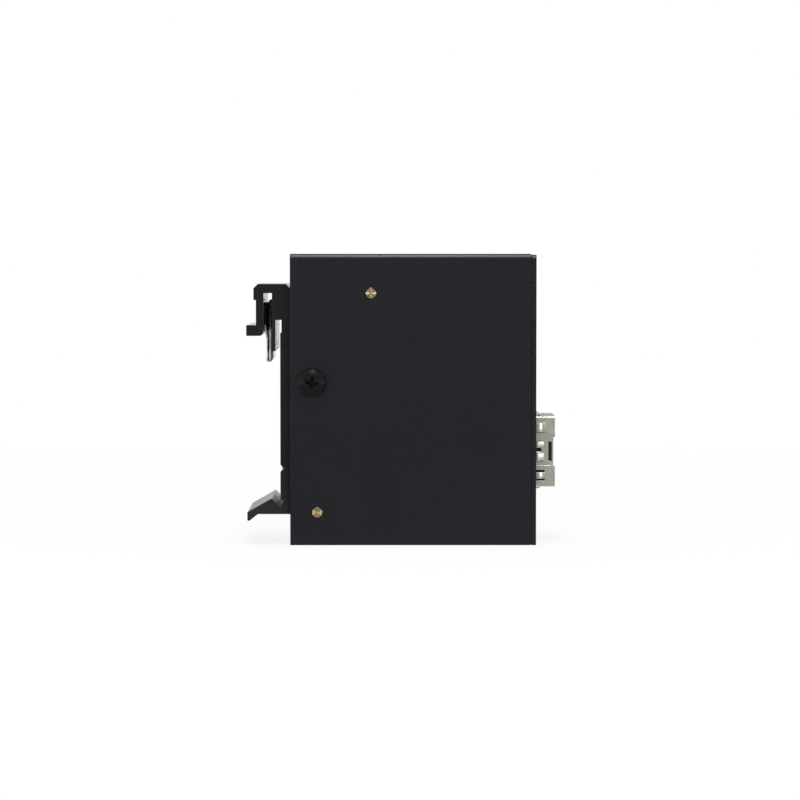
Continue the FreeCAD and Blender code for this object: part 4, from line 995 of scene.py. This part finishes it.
def ramp(tree, value, start, stop, low, high):
    """A value mapped from start..stop to low..high, held at both ends."""
    spread = tree.nodes.new("ShaderNodeMapRange")
    spread.interpolation_type = "SMOOTHSTEP"
    spread.inputs["From Min"].default_value = start
    spread.inputs["From Max"].default_value = stop
    spread.inputs["To Min"].default_value = low
    spread.inputs["To Max"].default_value = high
    tree.links.new(value, spread.inputs["Value"])
    return spread.outputs["Result"]


def choose(tree, factor, first, second):
    """One of two values; either may be a plain number."""
    chosen = tree.nodes.new("ShaderNodeMix")
    tree.links.new(factor, chosen.inputs["Factor"])
    for value, socket in ((first, chosen.inputs["A"]), (second, chosen.inputs["B"])):
        if isinstance(value, float):
            socket.default_value = value
        else:
            tree.links.new(value, socket)
    return chosen.outputs["Result"]


def parts_of(tree, vector):
    """The three parts of a vector."""
    apart = tree.nodes.new("ShaderNodeSeparateXYZ")
    tree.links.new(vector, apart.inputs["Vector"])
    return apart.outputs


def floor_paper():
    """White paper with the object's soft shadow; its near side is flagged dim for reflections."""
    material = bpy.data.materials.new("floor_paper")
    material.use_nodes = True
    tree = material.node_tree
    paper = tree.nodes["Principled BSDF"]
    paper.inputs["Base Color"].default_value = PAPER_COLOUR
    paper.inputs["Roughness"].default_value = PAPER_ROUGHNESS
    paper.inputs["Specular IOR Level"].default_value = PAPER_SPECULAR
    spot = tree.nodes.new("ShaderNodeTexCoord").outputs["Object"]
    reach = tree.nodes.new("ShaderNodeVectorMath")
    reach.operation = "LENGTH"
    tree.links.new(spot, reach.inputs[0])
    path = tree.nodes.new("ShaderNodeLightPath").outputs
    shadowed = ramp(tree, reach.outputs["Value"], *SHADOW_REACH, FLOOR_GLOW, 1.0)
    flagged = ramp(tree, parts_of(tree, spot)["Y"], *FLAG_REACH, FRONT_LEVEL, BACK_LEVEL)
    for_view = choose(tree, path["Is Camera Ray"], 0.0, shadowed)
    for_glass = choose(tree, path["Is Transmission Ray"], for_view, 1.0)
    glow = tree.nodes.new("ShaderNodeEmission")
    tree.links.new(choose(tree, path["Is Glossy Ray"], 1.0, flagged), glow.inputs["Strength"])
    mixed = tree.nodes.new("ShaderNodeMixShader")
    tree.links.new(choose(tree, path["Is Glossy Ray"], for_glass, 1.0), mixed.inputs["Fac"])
    tree.links.new(paper.outputs["BSDF"], mixed.inputs[1])
    tree.links.new(glow.outputs["Emission"], mixed.inputs[2])
    tree.links.new(mixed.outputs["Shader"], tree.nodes["Material Output"].inputs["Surface"])
    return material


def make_floor():
    """The studio's floor, just under the part."""
    mesh = bmesh.new()
    bmesh.ops.create_grid(mesh, x_segments=1, y_segments=1, size=FLOOR_HALF)
    floor = as_object("floor", mesh)
    floor.location.z = -FLOOR_DROP
    floor.data.materials.append(floor_paper())


def make_world():
    """White studio all round, dimmer overhead and on the side where the photographer stands."""
    world = bpy.data.worlds.new("studio")
    world.use_nodes = True
    bpy.context.scene.world = world
    tree = world.node_tree
    background = tree.nodes["Background"]
    background.inputs["Color"].default_value = (1.0, 1.0, 1.0, 1.0)
    direction = parts_of(tree, tree.nodes.new("ShaderNodeTexCoord").outputs["Generated"])
    dimmed = tree.nodes.new("ShaderNodeMath")
    dimmed.operation = "MULTIPLY"
    tree.links.new(ramp(tree, direction["Y"], *FRONT_TO_BACK, FRONT_LEVEL, BACK_LEVEL), dimmed.inputs[0])
    tree.links.new(ramp(tree, direction["Z"], *WALL_TO_ZENITH, 1.0, ZENITH_SHARE), dimmed.inputs[1])
    path = tree.nodes.new("ShaderNodeLightPath").outputs
    strength = choose(tree, path["Is Camera Ray"], dimmed.outputs["Value"], 1.0)
    tree.links.new(strength, background.inputs["Strength"])


def soft_box(name, place, size, radiance):
    """A rectangular soft light aimed at the middle of the case."""
    data = bpy.data.lights.new(name, "AREA")
    data.shape = "RECTANGLE"
    data.size, data.size_y = size
    data.energy = radiance * math.pi * size[0] * size[1]
    light = bpy.data.objects.new(name, data)
    light.location = place
    middle = Vector((0, 0, (cad_box[0][2] + cad_box[1][2]) / 2))
    light.rotation_euler = (middle - light.location).to_track_quat("-Z", "Y").to_euler()
    bpy.context.scene.collection.objects.link(light)


def make_lights():
    """A long box overhead for the top bend and two wide ones at the sides for the metal."""
    soft_box("overhead", place=(0.0, -0.20, 0.60), size=(0.15, 0.58), radiance=10.0)
    soft_box("left", place=(-0.60, -0.50, 0.06), size=(0.60, 0.18), radiance=3.6)
    soft_box("right", place=(0.60, -0.50, 0.06), size=(0.50, 0.18), radiance=4.4)


finishes = make_finishes()
dress(finishes)
make_cover_screws(finishes["black_screw"])
make_clip_screws(finishes["zinc_steel"])
make_spring(finishes["spring_steel"])
make_shield_fingers(finishes["nickel_shield"])
make_cage_gasket(finishes["nickel_shield"])
make_camera()
make_floor()
make_world()
make_lights()
bpy.context.scene.view_settings.view_transform = "Standard"
